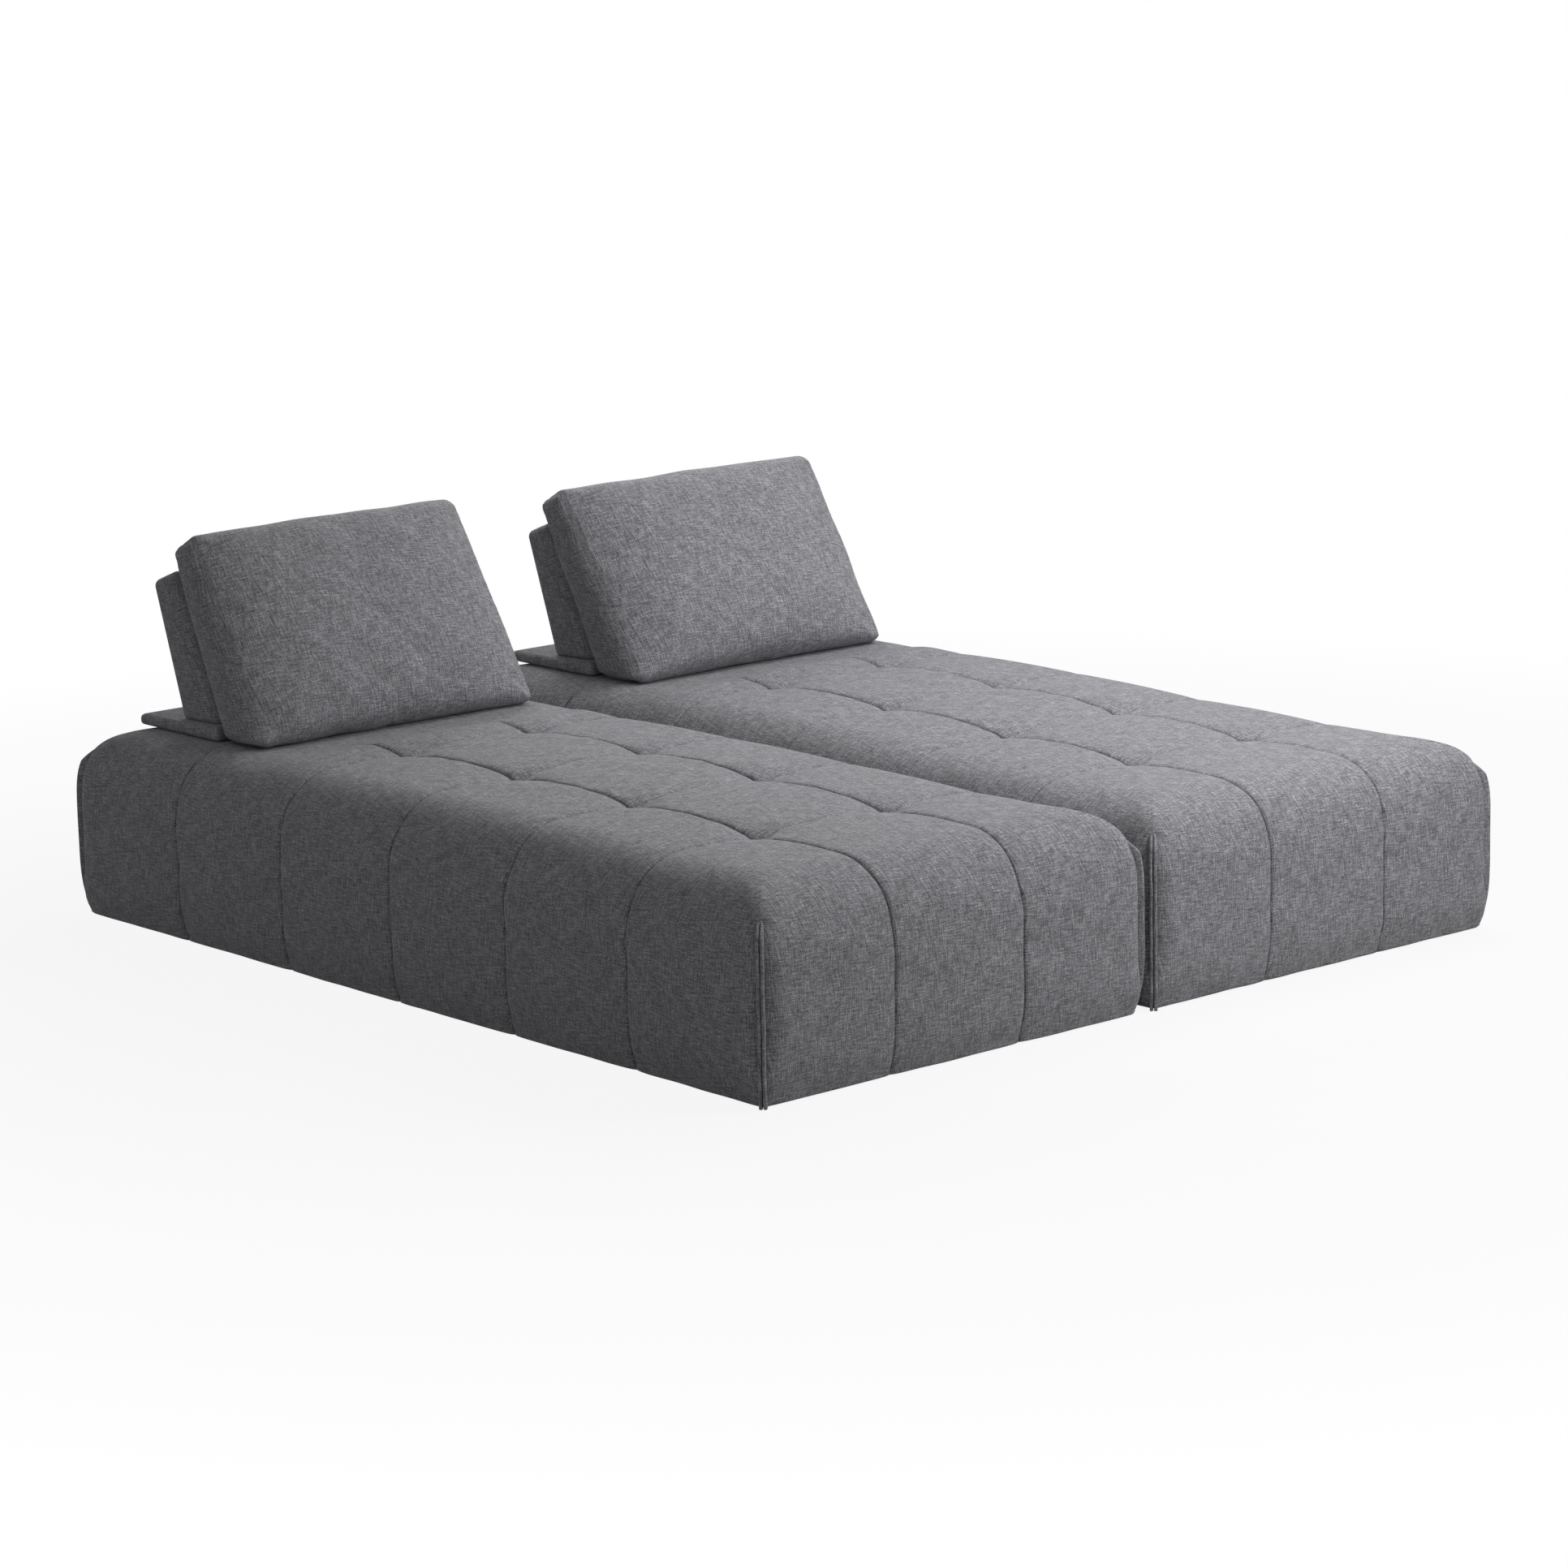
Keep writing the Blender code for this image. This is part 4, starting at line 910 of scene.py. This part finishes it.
@dataclass
class SoftBlock:
    """A soft block: straight in X, and a four-cornered profile in Y and Z, with rounded edges.

    Args:
        half_width: half of its width.
        corners: front bottom, front top, rear top and rear bottom, each as Y and Z in the row frame.
        radius: rounding of every edge.
        spacing: the size of its faces.
        round_steps: faces round half of an edge.
    """

    half_width: float
    corners: Profile
    radius: float
    spacing: float
    round_steps: int

    def __post_init__(self) -> None:
        """Works out the block's mean size, its lattice and the skin's faces."""
        front_bottom, front_top, rear_top, rear_bottom = self.ends = np.array(self.corners)
        height = max(np.linalg.norm(front_top - front_bottom), np.linalg.norm(rear_top - rear_bottom))
        depth = (np.linalg.norm(front_bottom - rear_bottom) + np.linalg.norm(front_top - rear_top)) / 2
        self.half = np.array([self.half_width, depth / 2, height / 2])
        self.stations = [self.station_line(half) for half in self.half]
        self.lattice, self.faces, self.face_of = self.box_faces([len(line) - 1 for line in self.stations])
        self.nominal = np.column_stack([self.stations[axis][self.lattice[:, axis]] for axis in range(3)])

    def station_line(self, half: float) -> Array:
        """Places from -half to half: even steps on the flat, and closer ones round both edges."""
        flat = half - self.radius
        count = max(2, round(2 * flat / self.spacing))
        curve = self.radius * np.tan(np.linspace(0.0, QUARTER / 2, self.round_steps + 1))[1:]
        return np.concatenate([-flat - curve[::-1], np.linspace(-flat, flat, count + 1), flat + curve])

    @staticmethod
    def box_faces(counts: list[int]) -> tuple[Array, Array, Array]:
        """The outside of a lattice of cells.

        Args:
            counts: the number of cells along each axis.

        Returns:
            The lattice place of each point, the faces turned outwards, and each face's axis and end.
        """
        size = [count + 1 for count in counts]
        quads, marks = [], []
        for axis in range(3):
            a, b = (axis + 1) % 3, (axis + 2) % 3
            i, j = (grid.ravel() for grid in np.indices((counts[a], counts[b])))
            for end in (0, 1):
                corners = []
                for di, dj in ((0, 0), (1, 0), (1, 1), (0, 1)):
                    place = np.zeros((3, len(i)), int)
                    place[axis], place[a], place[b] = end * counts[axis], i + di, j + dj
                    corners.append(np.ravel_multi_index(place, size))
                quad = np.stack(corners, -1)
                quads.append(quad if end else quad[:, ::-1])
                marks.append(np.broadcast_to((axis, end), (len(i), 2)))
        keys, inverse = np.unique(np.concatenate(quads), return_inverse=True)
        return np.stack(np.unravel_index(keys, size), -1), inverse.reshape(-1, 4), np.concatenate(marks)

    def rounded(self) -> Array:
        """Every lattice point drawn onto the rounded box, as shares from -1 to 1 of its half sizes.

        A point is its nearest place in the box without its radius, plus the radius along the way to it.
        """
        core = np.clip(self.nominal, self.radius - self.half, self.half - self.radius)
        offset = self.nominal - core
        length = np.linalg.norm(offset, axis=1, keepdims=True)
        return (core + self.radius * offset / np.maximum(length, TINY)) / self.half

    def placed(self, share: Array) -> Array:
        """Shares of the block as places: straight in X, and between the profile's four corners in Y and Z."""
        front_bottom, front_top, rear_top, rear_bottom = self.ends
        rear, up = (share[:, 1:2] + 1.0) / 2.0, (share[:, 2:] + 1.0) / 2.0
        front_line = front_bottom + (front_top - front_bottom) * up
        rear_line = rear_bottom + (rear_top - rear_bottom) * up
        return np.column_stack([share[:, 0] * self.half_width, front_line + (rear_line - front_line) * rear])

    def front_way(self) -> Array:
        """The direction in Y and Z that the front face looks in."""
        rise = self.ends[1] - self.ends[0]
        rise = rise / np.linalg.norm(rise)
        return np.array([-rise[1], rise[0]])

    def cloth(self) -> Array:
        """Where each face's corners are on the cloth.

        The main panel runs over the front, the top, the rear and the bottom as one length, with weft along
        X. The side panels are cut apart, with weft along Y.
        """
        x, y, z = np.moveaxis(self.nominal[self.faces], -1, 0)
        _, depth, height = self.half
        main = {
            Face.FRONT: z,
            Face.TOP: height + (y + depth),
            Face.REAR: height + 2 * depth + (height - z),
            Face.BOTTOM: -height - (y + depth),
        }
        result = np.stack([y + 1.0, z], -1)
        for face, warp in main.items():
            chosen = (self.face_of == face.value).all(axis=1)
            result[chosen] = np.stack([x, warp], -1)[chosen]
        return result


@dataclass
class BackrestFoot:
    """The flat padded foot that the backrest stands on: a thin pillow over a steel plate.

    Args:
        centre: its middle in X.
        front: its front edge in Y.
        bottom: the underside of its grip mat.
        sunk: how far its soft rim sinks into the seat round the mat.
    """

    centre: float
    front: float
    bottom: float
    sunk: float
    width: float = 0.740
    depth: float = 0.292
    front_height: float = 0.031
    rear_height: float = 0.025
    lift: float = 0.0012
    rim_reach: float = 0.030
    rim_share: float = 0.80
    rim_power: float = 2.4
    middle_share: float = 0.45
    radius: float = 0.011
    crown: float = 0.002
    crown_reach: float = 0.09
    wave: Wave = Wave(0.0004, 0.07)
    seed: int = 5
    sink_ends: Pair = (0.1, 0.6)
    spacing: float = 0.009

    def skin(self) -> Skin:
        """A thin block whose thickness fades towards its rim as (1 - (1 - t)^2.4)^(1 / 2.4)."""
        base, rear = self.bottom + self.lift, self.front + self.depth
        front_top, rear_top = self.bottom + self.front_height, self.bottom + self.rear_height
        corners = ((self.front, base), (self.front, front_top), (rear, rear_top), (rear, base))
        block = SoftBlock(self.width / 2, corners, self.radius, self.spacing, 3)
        share = block.rounded()
        place = block.placed(share)
        to_end = np.minimum(place[:, 1] - self.front, rear - place[:, 1])
        to_rim = np.minimum(self.width / 2 - np.abs(place[:, 0]), to_end)
        fall = rest_of(np.maximum(0.0, to_rim) / self.rim_reach)
        full = (1.0 - fall**self.rim_power) ** (1 / self.rim_power)
        upper = share[:, 2] > 0
        middle = base + self.middle_share * (place[:, 2] - base)
        rim = np.where(upper, self.rim_share + (1.0 - self.rim_share) * full, 1.0)
        place[:, 2] = np.where(upper, middle + (place[:, 2] - middle) * rim, place[:, 2])
        swell = np.clip(to_rim / self.crown_reach, 0.0, 1.0) * upper
        place[:, 2] += (self.crown + self.wave.at(place[:, 0], place[:, 1], self.seed)) * swell
        place[:, 2] -= (self.lift + self.sunk) * np.where(upper, 0.0, smooth_step(fall, *self.sink_ends))
        place[:, 0] += self.centre
        return Skin(place, block.faces, block.cloth())


@dataclass
class BackrestPanel:
    """The upholstered wedge that leans back: front and rear panels sewn to a gusset on each side.

    Args:
        centre: its middle in X.
        front: the front edge of its foot in Y.
        bottom: the underside of the foot's grip mat.
        rise: how much higher its top stands than the CAD's.
    """

    centre: float
    front: float
    bottom: float
    rise: float
    half_width: float = 0.350
    setback: float = 0.0225
    bottom_depth: float = 0.1345
    front_height: float = 0.302
    rear_height: float = 0.278
    front_lean: float = math.radians(26.0)
    rear_lean: float = math.radians(18.5)
    radius: float = 0.018
    crown: float = 0.016
    seam_setback: float = 0.026
    groove: Fade = Fade(0.0045, 0.0045)
    gusset_inset: float = 0.003
    gusset_fade: float = 0.02
    gusset_ends: Pair = (0.93, 0.985)
    bulge_reach: float = 1.2
    foot_front_height: float = 0.0323
    foot_rear_height: float = 0.0254
    overlap: float = 0.003
    spacing: float = 0.0085

    def profile(self) -> Profile:
        """The wedge's corners in Y and Z, as in the CAD source but for the rise of its top."""
        near = self.front + self.setback
        far = near + self.bottom_depth
        low = self.bottom + self.foot_front_height - self.overlap
        high = self.bottom + self.foot_rear_height - self.overlap
        return (
            (near, low),
            (near + math.tan(self.front_lean) * self.front_height, low + self.front_height + self.rise),
            (far + math.tan(self.rear_lean) * self.rear_height, high + self.rear_height + self.rise),
            (far, high),
        )

    def skin(self) -> Skin:
        """A block with a crowned front, and a groove down each gusset a little behind the front."""
        block = SoftBlock(self.half_width, self.profile(), self.radius, self.spacing, 4)
        share = block.rounded()
        place = block.placed(share)
        across, ahead, up = share[:, 0], -share[:, 1], share[:, 2]
        full = rest_of(across**4) * rest_of(up**4) * np.clip(ahead, 0.0, 1.0)
        place[:, 1:] += np.outer(self.crown * full, block.front_way())
        front_line = block.ends[0, 0] + (up + 1) / 2 * (block.ends[1, 0] - block.ends[0, 0])
        behind = place[:, 1] - front_line - self.seam_setback
        groove = self.groove.at(np.abs(behind))
        groove += self.gusset_inset * smooth_step(-behind, 0.0, self.gusset_fade)
        bulge = self.gusset_inset * rest_of((share[:, 1] * self.bulge_reach) ** 2) * (1 - up**4)
        on_side = np.sign(across) * smooth_step(np.abs(across), *self.gusset_ends)
        place[:, 0] += self.centre - on_side * (groove - bulge)
        return Skin(place, block.faces, block.cloth())


@dataclass
class BackCushion:
    """The loose wedge cushion: one length of cloth over front, top, rear and bottom, and sewn side panels.

    Args:
        centre: its middle in X.
        rear: its rear edge in Y.
        bottom: the level of the seat that it stands on.
        sunk: how far it sinks into the seat.
        seed: number that fixes its small waves.
        forward: how far its lower front edge comes forward.
        rise: how much higher its top stands than the CAD's.
        half_width: half of its mean width.
        flare: how much wider than that each side is at the top, and narrower at the bottom.
    """

    centre: float
    rear: float
    bottom: float
    sunk: float
    seed: int
    forward: float
    rise: float
    half_width: float
    flare: float
    ear: float = 0.005
    ear_power: int = 9
    ear_ends: Pair = (0.2, 1.0)
    ear_turn: Pair = (-0.5, 0.7)
    bottom_depth: float = 0.146
    front_height: float = 0.427
    rear_height: float = 0.390
    front_lean: float = math.radians(30.0)
    rear_lean: float = math.radians(26.0)
    radius: float = 0.029
    slack: float = 0.002
    set_back: float = 0.009
    crown: float = 0.069
    crown_power: float = 3.2
    crown_falls: Pair = (0.80, 0.65)
    side_crown: float = 0.007
    side_power: int = 7
    spacing: float = 0.0095
    batches: int = 40
    # How hard the filling presses and how far it moves the cloth, and the room it leaves at the rear corners
    pressure: float = 4.0
    cap: float = 0.010
    spare: float = 0.008
    spare_ends: Pair = (0.25, 0.35)
    # The corner creases: for each side, -1 or 1, how steeply its crease runs
    crease: float = 0.0024
    crease_turns: tuple[tuple[int, float], ...] = ((-1, 0.95), (1, 0.75))
    crease_width: float = 0.007
    crease_reach: float = 0.07
    crease_start: float = 0.03
    # The sewn edge: its groove, the wider slope towards it, and the puckers, 24 mm apart
    seam_groove: float = 0.0024
    seam_offset: float = 0.0035
    seam_width: float = 0.0025
    seam_slope: Fade = Fade(0.0010, 0.010)
    pucker: Wave = Wave(0.0007, 0.024)
    pucker_ends: Pair = (0.004, 0.016)
    pucker_turn: Place = (0.5, 0.6, 1.0)
    wave: Wave = Wave(0.0014, 0.15)

    def profile(self) -> Profile:
        """The wedge's corners in Y and Z, drawn in by the slack that the filling takes up."""
        front, low = self.rear - self.bottom_depth + self.set_back, self.bottom - self.sunk
        top = self.bottom + self.front_height + self.rise - self.slack
        rear_top = self.bottom + self.rear_height + self.rise - self.slack
        return (
            (front - self.forward, low),
            (front + math.tan(self.front_lean) * self.front_height, top),
            (self.rear + math.tan(self.rear_lean) * self.rear_height - self.slack, rear_top),
            (self.rear, low),
        )

    def start(self) -> tuple[SoftBlock, Skin]:
        """The unfilled cover, a little wider at its top, with small ears at its front corners.

        It is a block crowned at its front by (1 - a^3.2)^0.80 (1 - b^3.2)^0.65. An ear stands out by
        (a b)^9, where a and b are the shares of the way across and up.

        Returns:
            The block and its skin.
        """
        block = SoftBlock(self.half_width, self.profile(), self.radius, self.spacing, 4)
        share = block.rounded()
        place = block.placed(share)
        across, ahead, up = share[:, 0], -share[:, 1], share[:, 2]
        falls = zip((across, up), self.crown_falls)
        full = math.prod(rest_of(np.abs(way) ** self.crown_power) ** fall for way, fall in falls)
        place[:, 1:] += np.outer(self.crown * full * smooth_step(ahead, 0.0, 1.0), block.front_way())
        bulge = np.clip((1 - ahead**4) * (1 - up**4), 0.0, 1.0) ** 0.5
        place[:, 0] += self.side_crown * across * np.abs(across) ** self.side_power * bulge
        place[:, 0] += self.flare * across * up
        corner = self.ear * np.abs(across * up) ** self.ear_power * smooth_step(ahead, *self.ear_ends)
        back, rise = self.ear_turn
        outwards = np.column_stack([np.sign(across), np.full(len(up), back), rise * np.maximum(up, 0.0)])
        place += corner[:, None] * outwards
        place[:, 0] += self.centre
        return block, Skin(place, block.faces, block.cloth())

    def seam_points(self, block: SoftBlock) -> Array:
        """True for the points where the side panels are sewn to the main one."""
        counts = np.array([len(line) - 1 for line in block.stations])
        ends = (block.lattice == 0) | (block.lattice == counts)
        return ends[:, 0] & (ends[:, 1] | ends[:, 2])

    def settle(self, mesh: Mesh) -> None:
        """Rests the filled cushion on the seat and against the backrest, with some room at both rear corners.

        A point below the seat's plane moves up to it, and one behind the backrest's plane forward to it.
        """
        place = read(mesh.vertices, "co")
        place[:, 2] = np.maximum(place[:, 2], self.bottom - self.sunk)
        limit = self.rear + math.tan(self.rear_lean) * (place[:, 2] - self.bottom)
        spare = self.spare * smooth_step(np.abs(place[:, 0] - self.centre), *self.spare_ends)
        place[:, 1] = np.minimum(place[:, 1], limit + spare)
        reshape(mesh, place)

    def corner_creases(self, place: Array) -> Array:
        """Folds that run from the lower front corners into the front, each a groove beside a ridge.

        Args:
            place: the cushion's points.

        Returns:
            How far each point moves outwards: t exp(-t^2) across the fold, fading as exp(-reach / 70 mm).
        """
        total = np.zeros(len(place))
        for side, turn in self.crease_turns:
            out = side * (place[:, 0] - self.centre) - self.half_width
            rise = place[:, 2] - self.bottom
            along = -out * math.cos(turn) + rise * math.sin(turn)
            over = (out * math.sin(turn) + rise * math.cos(turn)) / self.crease_width
            fade = fading(np.abs(along), self.crease_reach) * smooth_step(along, 0.0, self.crease_start)
            total += self.crease * over * np.exp(-(over**2)) * fade
        return total

    def stitch(self, piece: Object) -> None:
        """Pulls the sewn edges in and gathers the cloth beside them into small puckers.

        A groove 3.5 mm beside the seam leaves its edge standing as a thin ridge. The puckers are waves along
        the seam, fading as exp(-d / 16 mm).

        Args:
            piece: the filled cushion, with each point's distance from the seam.
        """
        mesh = piece.data
        place, way = read(mesh.vertices, "co"), read(mesh.vertex_normals, "vector")
        distance = read(mesh.attributes["seam_distance"].data, "value", 1)[:, 0]
        move = -self.seam_groove * np.exp(-(((distance - self.seam_offset) / self.seam_width) ** 2))
        x, y, z = (place * self.pucker_turn).T
        puckers = self.pucker.at(y + z, x, self.seed)
        start, stop = (fading(distance, reach) for reach in self.pucker_ends)
        move += puckers * stop * (1.0 - start) - self.seam_slope.at(distance)
        move += self.wave.at(place[:, 0], place[:, 2], self.seed + 1) + self.corner_creases(place)
        place += way * move[:, None]
        place[:, 2] = np.maximum(place[:, 2], self.bottom - self.sunk)
        reshape(mesh, place)

    def make(self, name: str, finish: Material) -> Object:
        """Makes, fills and sews the cushion.

        Args:
            name: the piece's name.
            finish: the weave.

        Returns:
            The cushion.
        """
        block, skin = self.start()
        piece = new_piece(name, skin, finish)
        sewn = self.seam_points(block)
        piece.vertex_groups.new(name="sewn").add(np.flatnonzero(sewn).tolist(), 1.0, "REPLACE")
        seam = skin.points[sewn]
        parts = np.array_split(skin.points, self.batches)
        away = [np.linalg.norm(part[:, None, :] - seam[None], axis=-1).min(axis=1) for part in parts]
        layer = piece.data.attributes.new("seam_distance", "FLOAT", "POINT")
        layer.data.foreach_set("value", np.concatenate(away).astype(np.float32))
        inflate(piece, self.pressure, self.cap)
        self.settle(piece.data)
        refine(piece)
        self.stitch(piece)
        piece.vertex_groups.clear()
        return piece


# The sofa and its studio


@dataclass
class Module:
    """One seat module with what stands on it.

    Args:
        tag: its letter.
        seed: number that fixes its small waves.
        lift: how much higher than the others each cross seam of its seat lies, from the front.
        rise: how much higher the top of its backrest stands than the CAD's.
        cushion: the cushion's forward, rise, half width and flare.
        weave: the finish of every new piece.
    """

    tag: str
    seed: int
    lift: tuple[float, ...]
    rise: float
    cushion: tuple[float, float, float, float]
    weave: Material
    seat_fill: float = 0.7
    flange_fill: float = 0.4
    foot_fill: float = 0.8
    panel_fill: float = 0.9
    cushion_fill: float = 0.75
    near_hang: float = 1.0
    far_hang: float = 0.1
    mat_clearance: float = 0.0009
    zip_to_rear: float = 0.030

    def build(self) -> None:
        """Makes every new piece of the module and lets each ride on its body."""
        low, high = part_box(f"seat_cover_{self.tag}")
        centre, half = (low.x + high.x) / 2, np.array([high.x - low.x, high.y - low.y]) / 2
        seat = SeatCover(centre, half, self.seed, self.lift)
        self.upholster("quilted_cover", seat.skin(), "seat", self.seat_fill, "seat_cover")
        for side_x, side in ((-1, "left"), (1, "right")):
            for side_y, end in ((-1, "front"), (1, "rear")):
                # Only the near corner's flange hangs straight in the photograph.
                hang = self.near_hang if (side, end) == ("left", "front") else self.far_hang
                flange = CornerFlange(seat, side_x, side_y, hang)
                self.upholster(f"corner_flange_{end}_{side}", flange.skin(), "seat", self.flange_fill)
        front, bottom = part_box(f"base_cover_{self.tag}")[0].y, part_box(f"grip_mat_{self.tag}")[0].z
        sunk = bottom - seat.rest_level - self.mat_clearance
        foot = BackrestFoot(centre, front, bottom, sunk)
        self.upholster("backrest_foot", foot.skin(), "backrest", self.foot_fill, "base_cover")
        panel = BackrestPanel(centre, front, bottom, self.rise)
        self.upholster("backrest_panel", panel.skin(), "backrest", self.panel_fill, "panel_cover")
        zip_low, zip_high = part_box(f"cushion_zip_{self.tag}")
        rear = zip_high.y + self.zip_to_rear
        cushion = BackCushion(centre, rear, zip_low.z, sunk, self.seed, *self.cushion)
        piece = cushion.make(f"back_cushion_{self.tag}", self.weave)
        self.settle(piece, "cushion", self.cushion_fill, "cushion_cover")

    def upholster(self, title: str, skin: Skin, body: str, fill: float, cover: str = "") -> None:
        """Makes a padded piece from its skin, in this module's name and weave. The rest is as in settle()."""
        self.settle(new_piece(f"{title}_{self.tag}", skin, self.weave), body, fill, cover)

    def settle(self, piece: Object, body: str, fill: float, cover: str) -> None:
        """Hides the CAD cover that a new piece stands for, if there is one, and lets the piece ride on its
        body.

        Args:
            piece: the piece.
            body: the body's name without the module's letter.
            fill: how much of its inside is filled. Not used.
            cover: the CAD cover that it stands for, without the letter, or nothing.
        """
        if cover:
            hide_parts(f"{cover}_{self.tag}")
        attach(piece, f"{body}_{self.tag}")
        LOG.info("%s rides on %s_%s: %d faces", piece.name, body, self.tag, len(piece.data.polygons))


def finish_solids(nodes: dict[str, Object]) -> None:
    """Gives every solid that keeps its form the finish of what it is made of.

    Args:
        nodes: the CAD objects by name.
    """
    made: dict[str, Material] = {}
    for finish in SOLID_FINISHES:
        made.update(dict.fromkeys(finish.starts, finish.make()))
    for name, node in nodes.items():
        if node.hide_render:
            continue
        material = made[max((start for start in made if name.startswith(start)), key=len)]
        for place in node.material_slots:
            place.material = material
        LOG.info("%s is finished as %s", name, material.name)


@dataclass(frozen=True)
class SoftBox:
    """A square soft lamp.

    Args:
        name: its name.
        place: where it hangs.
        power: its power in watts.
    """

    name: str
    place: Place
    power: float
    size: float = 1.0
    aim: Place = (0.0, -0.2, 0.25)

    def make(self) -> None:
        """Adds the lamp, turned to the point that it aims at."""
        data = bpy.data.lights.new(self.name, "AREA")
        data.size = self.size
        data.energy = self.power
        lamp = put(self.name, data)
        lamp.location = self.place
        lamp.rotation_euler = (Vector(self.aim) - Vector(self.place)).to_track_quat("-Z", "Y").to_euler()


@dataclass
class Studio:
    """Plain pale floor, soft light from the front right, and the camera at the photograph's angle."""

    azimuth: float = -40.7683
    elevation: float = 11.8807
    roll: float = -1.2090
    place: Place = (-6.82784, -7.96262, 2.50309)
    focal_pixels: float = 6240.05
    image_pixels: float = 1932.0
    sensor: float = 36.0
    sight: float = 100.0
    ambient: float = 0.225
    floor_reach: float = 30.0
    floor_glow: float = 0.90
    floor_fade: Pair = (1.6, 3.6)
    lamps: tuple[SoftBox, ...] = (
        SoftBox("soft_box_right", (1.5, -0.3, 2.2), 28.0),
        SoftBox("soft_box_front", (0.7, -2.2, 1.9), 30.0),
        SoftBox("soft_box_rear", (0.8, 2.0, 1.8), 15.0),
    )

    def camera(self) -> None:
        """Sets the camera up from its measured turn, place and focal length."""
        azimuth, elevation, roll = (math.radians(turn) for turn in (self.azimuth, self.elevation, self.roll))
        right = Vector((math.cos(azimuth), math.sin(azimuth), 0.0))
        level = math.cos(elevation)
        back = Vector((math.sin(azimuth) * level, -math.cos(azimuth) * level, math.sin(elevation)))
        up = back.cross(right)
        across = right * math.cos(roll) + up * math.sin(roll)
        rise = up * math.cos(roll) - right * math.sin(roll)
        data = bpy.data.cameras.new("studio_camera")
        data.sensor_width = self.sensor
        data.lens = self.focal_pixels / self.image_pixels * self.sensor
        data.clip_end = self.sight
        camera = put("studio_camera", data)
        turned = Matrix((across, rise, back)).transposed().to_4x4()
        camera.matrix_world = Matrix.Translation(self.place) @ turned
        bpy.context.scene.camera = camera

    @staticmethod
    def seen_directly(tree: Tree) -> Socket:
        """1 where a camera, glossy or transmission ray meets the surface, and else 0."""
        ray = add(tree, "LightPath").outputs
        first = reckon(tree, "MAXIMUM", ray["Is Camera Ray"], ray["Is Glossy Ray"])
        return reckon(tree, "MAXIMUM", first, ray["Is Transmission Ray"])

    def world(self) -> None:
        """White where it is seen, and a soft even light where it lights the sofa."""
        world = bpy.data.worlds.new("studio")
        bpy.context.scene.world = world
        world.use_nodes = True
        tree = world.node_tree
        tree.nodes.clear()
        levels = {0: self.seen_directly(tree), 2: self.ambient, 3: 1.0}
        strength = add(tree, "Mix", levels, data_type="FLOAT").outputs[0]
        light = add(tree, "Background", {"Color": linear("#ffffff"), "Strength": strength})
        add(tree, "OutputWorld", {"Surface": light.outputs[0]})

    def floor(self) -> None:
        """A matt white floor, mostly glowing where the camera sees it, so that only a faint shadow stays."""
        mesh = bpy.data.meshes.new("studio_floor")
        reach = self.floor_reach
        corners = [(-reach, -reach, 0), (reach, -reach, 0), (reach, reach, 0), (-reach, reach, 0)]
        mesh.from_pydata(corners, [], [(0, 1, 2, 3)])
        floor = put("studio_floor", mesh)
        material, tree, shader = blank("matt_white_paint")
        place = add(tree, "TexCoord").outputs["Object"]
        noise = add(tree, "TexNoise", {"Vector": place, "Scale": 3.0}).outputs[0]
        values = {"Roughness": 1.0, "Specular IOR Level": 0.0}
        finish_shader(shader, noise, list(zip(NOISE_ENDS, ("#c9c9c9", "#cfcfcf"))), values)
        far = add(tree, "VectorMath", {0: place}, operation="LENGTH").outputs["Value"]
        near_edge, far_edge = self.floor_fade
        ends = {"From Min": near_edge, "From Max": far_edge, "To Min": self.floor_glow, "To Max": 1.0}
        fade = add(tree, "MapRange", {"Value": far, **ends}).outputs[0]
        share = reckon(tree, "MULTIPLY", self.seen_directly(tree), fade)
        glow = add(tree, "Emission", {"Strength": 1.0}).outputs[0]
        mixed = add(tree, "MixShader", {0: share, 1: shader.outputs[0], 2: glow}).outputs[0]
        output = next(node for node in tree.nodes if node.type == "OUTPUT_MATERIAL")
        tree.links.new(mixed, output.inputs["Surface"])
        mesh.materials.append(material)

    def build(self) -> None:
        """Sets up the camera, the floor and the light."""
        self.camera()
        self.floor()
        self.world()
        for lamp in self.lamps:
            lamp.make()
        bpy.context.scene.view_settings.view_transform = "Standard"


def main() -> None:
    """Builds the studio, both modules and the finishes."""
    logging.basicConfig(level=logging.INFO, format="%(name)s: %(message)s")
    Studio().build()
    weave = SlubWeave().make()
    Module("a", 11, (0.0, 0.0045, 0.0065, 0.0, 0.0), 0.016, (0.015, 0.010, 0.3585, -0.0075), weave).build()
    Module("b", 23, (-0.0095, -0.006, 0.0035, 0.001, 0.0), 0.0, (0.026, -0.007, 0.369, 0.003), weave).build()
    finish_solids(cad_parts)
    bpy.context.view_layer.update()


if __name__ == "__main__":
    main()
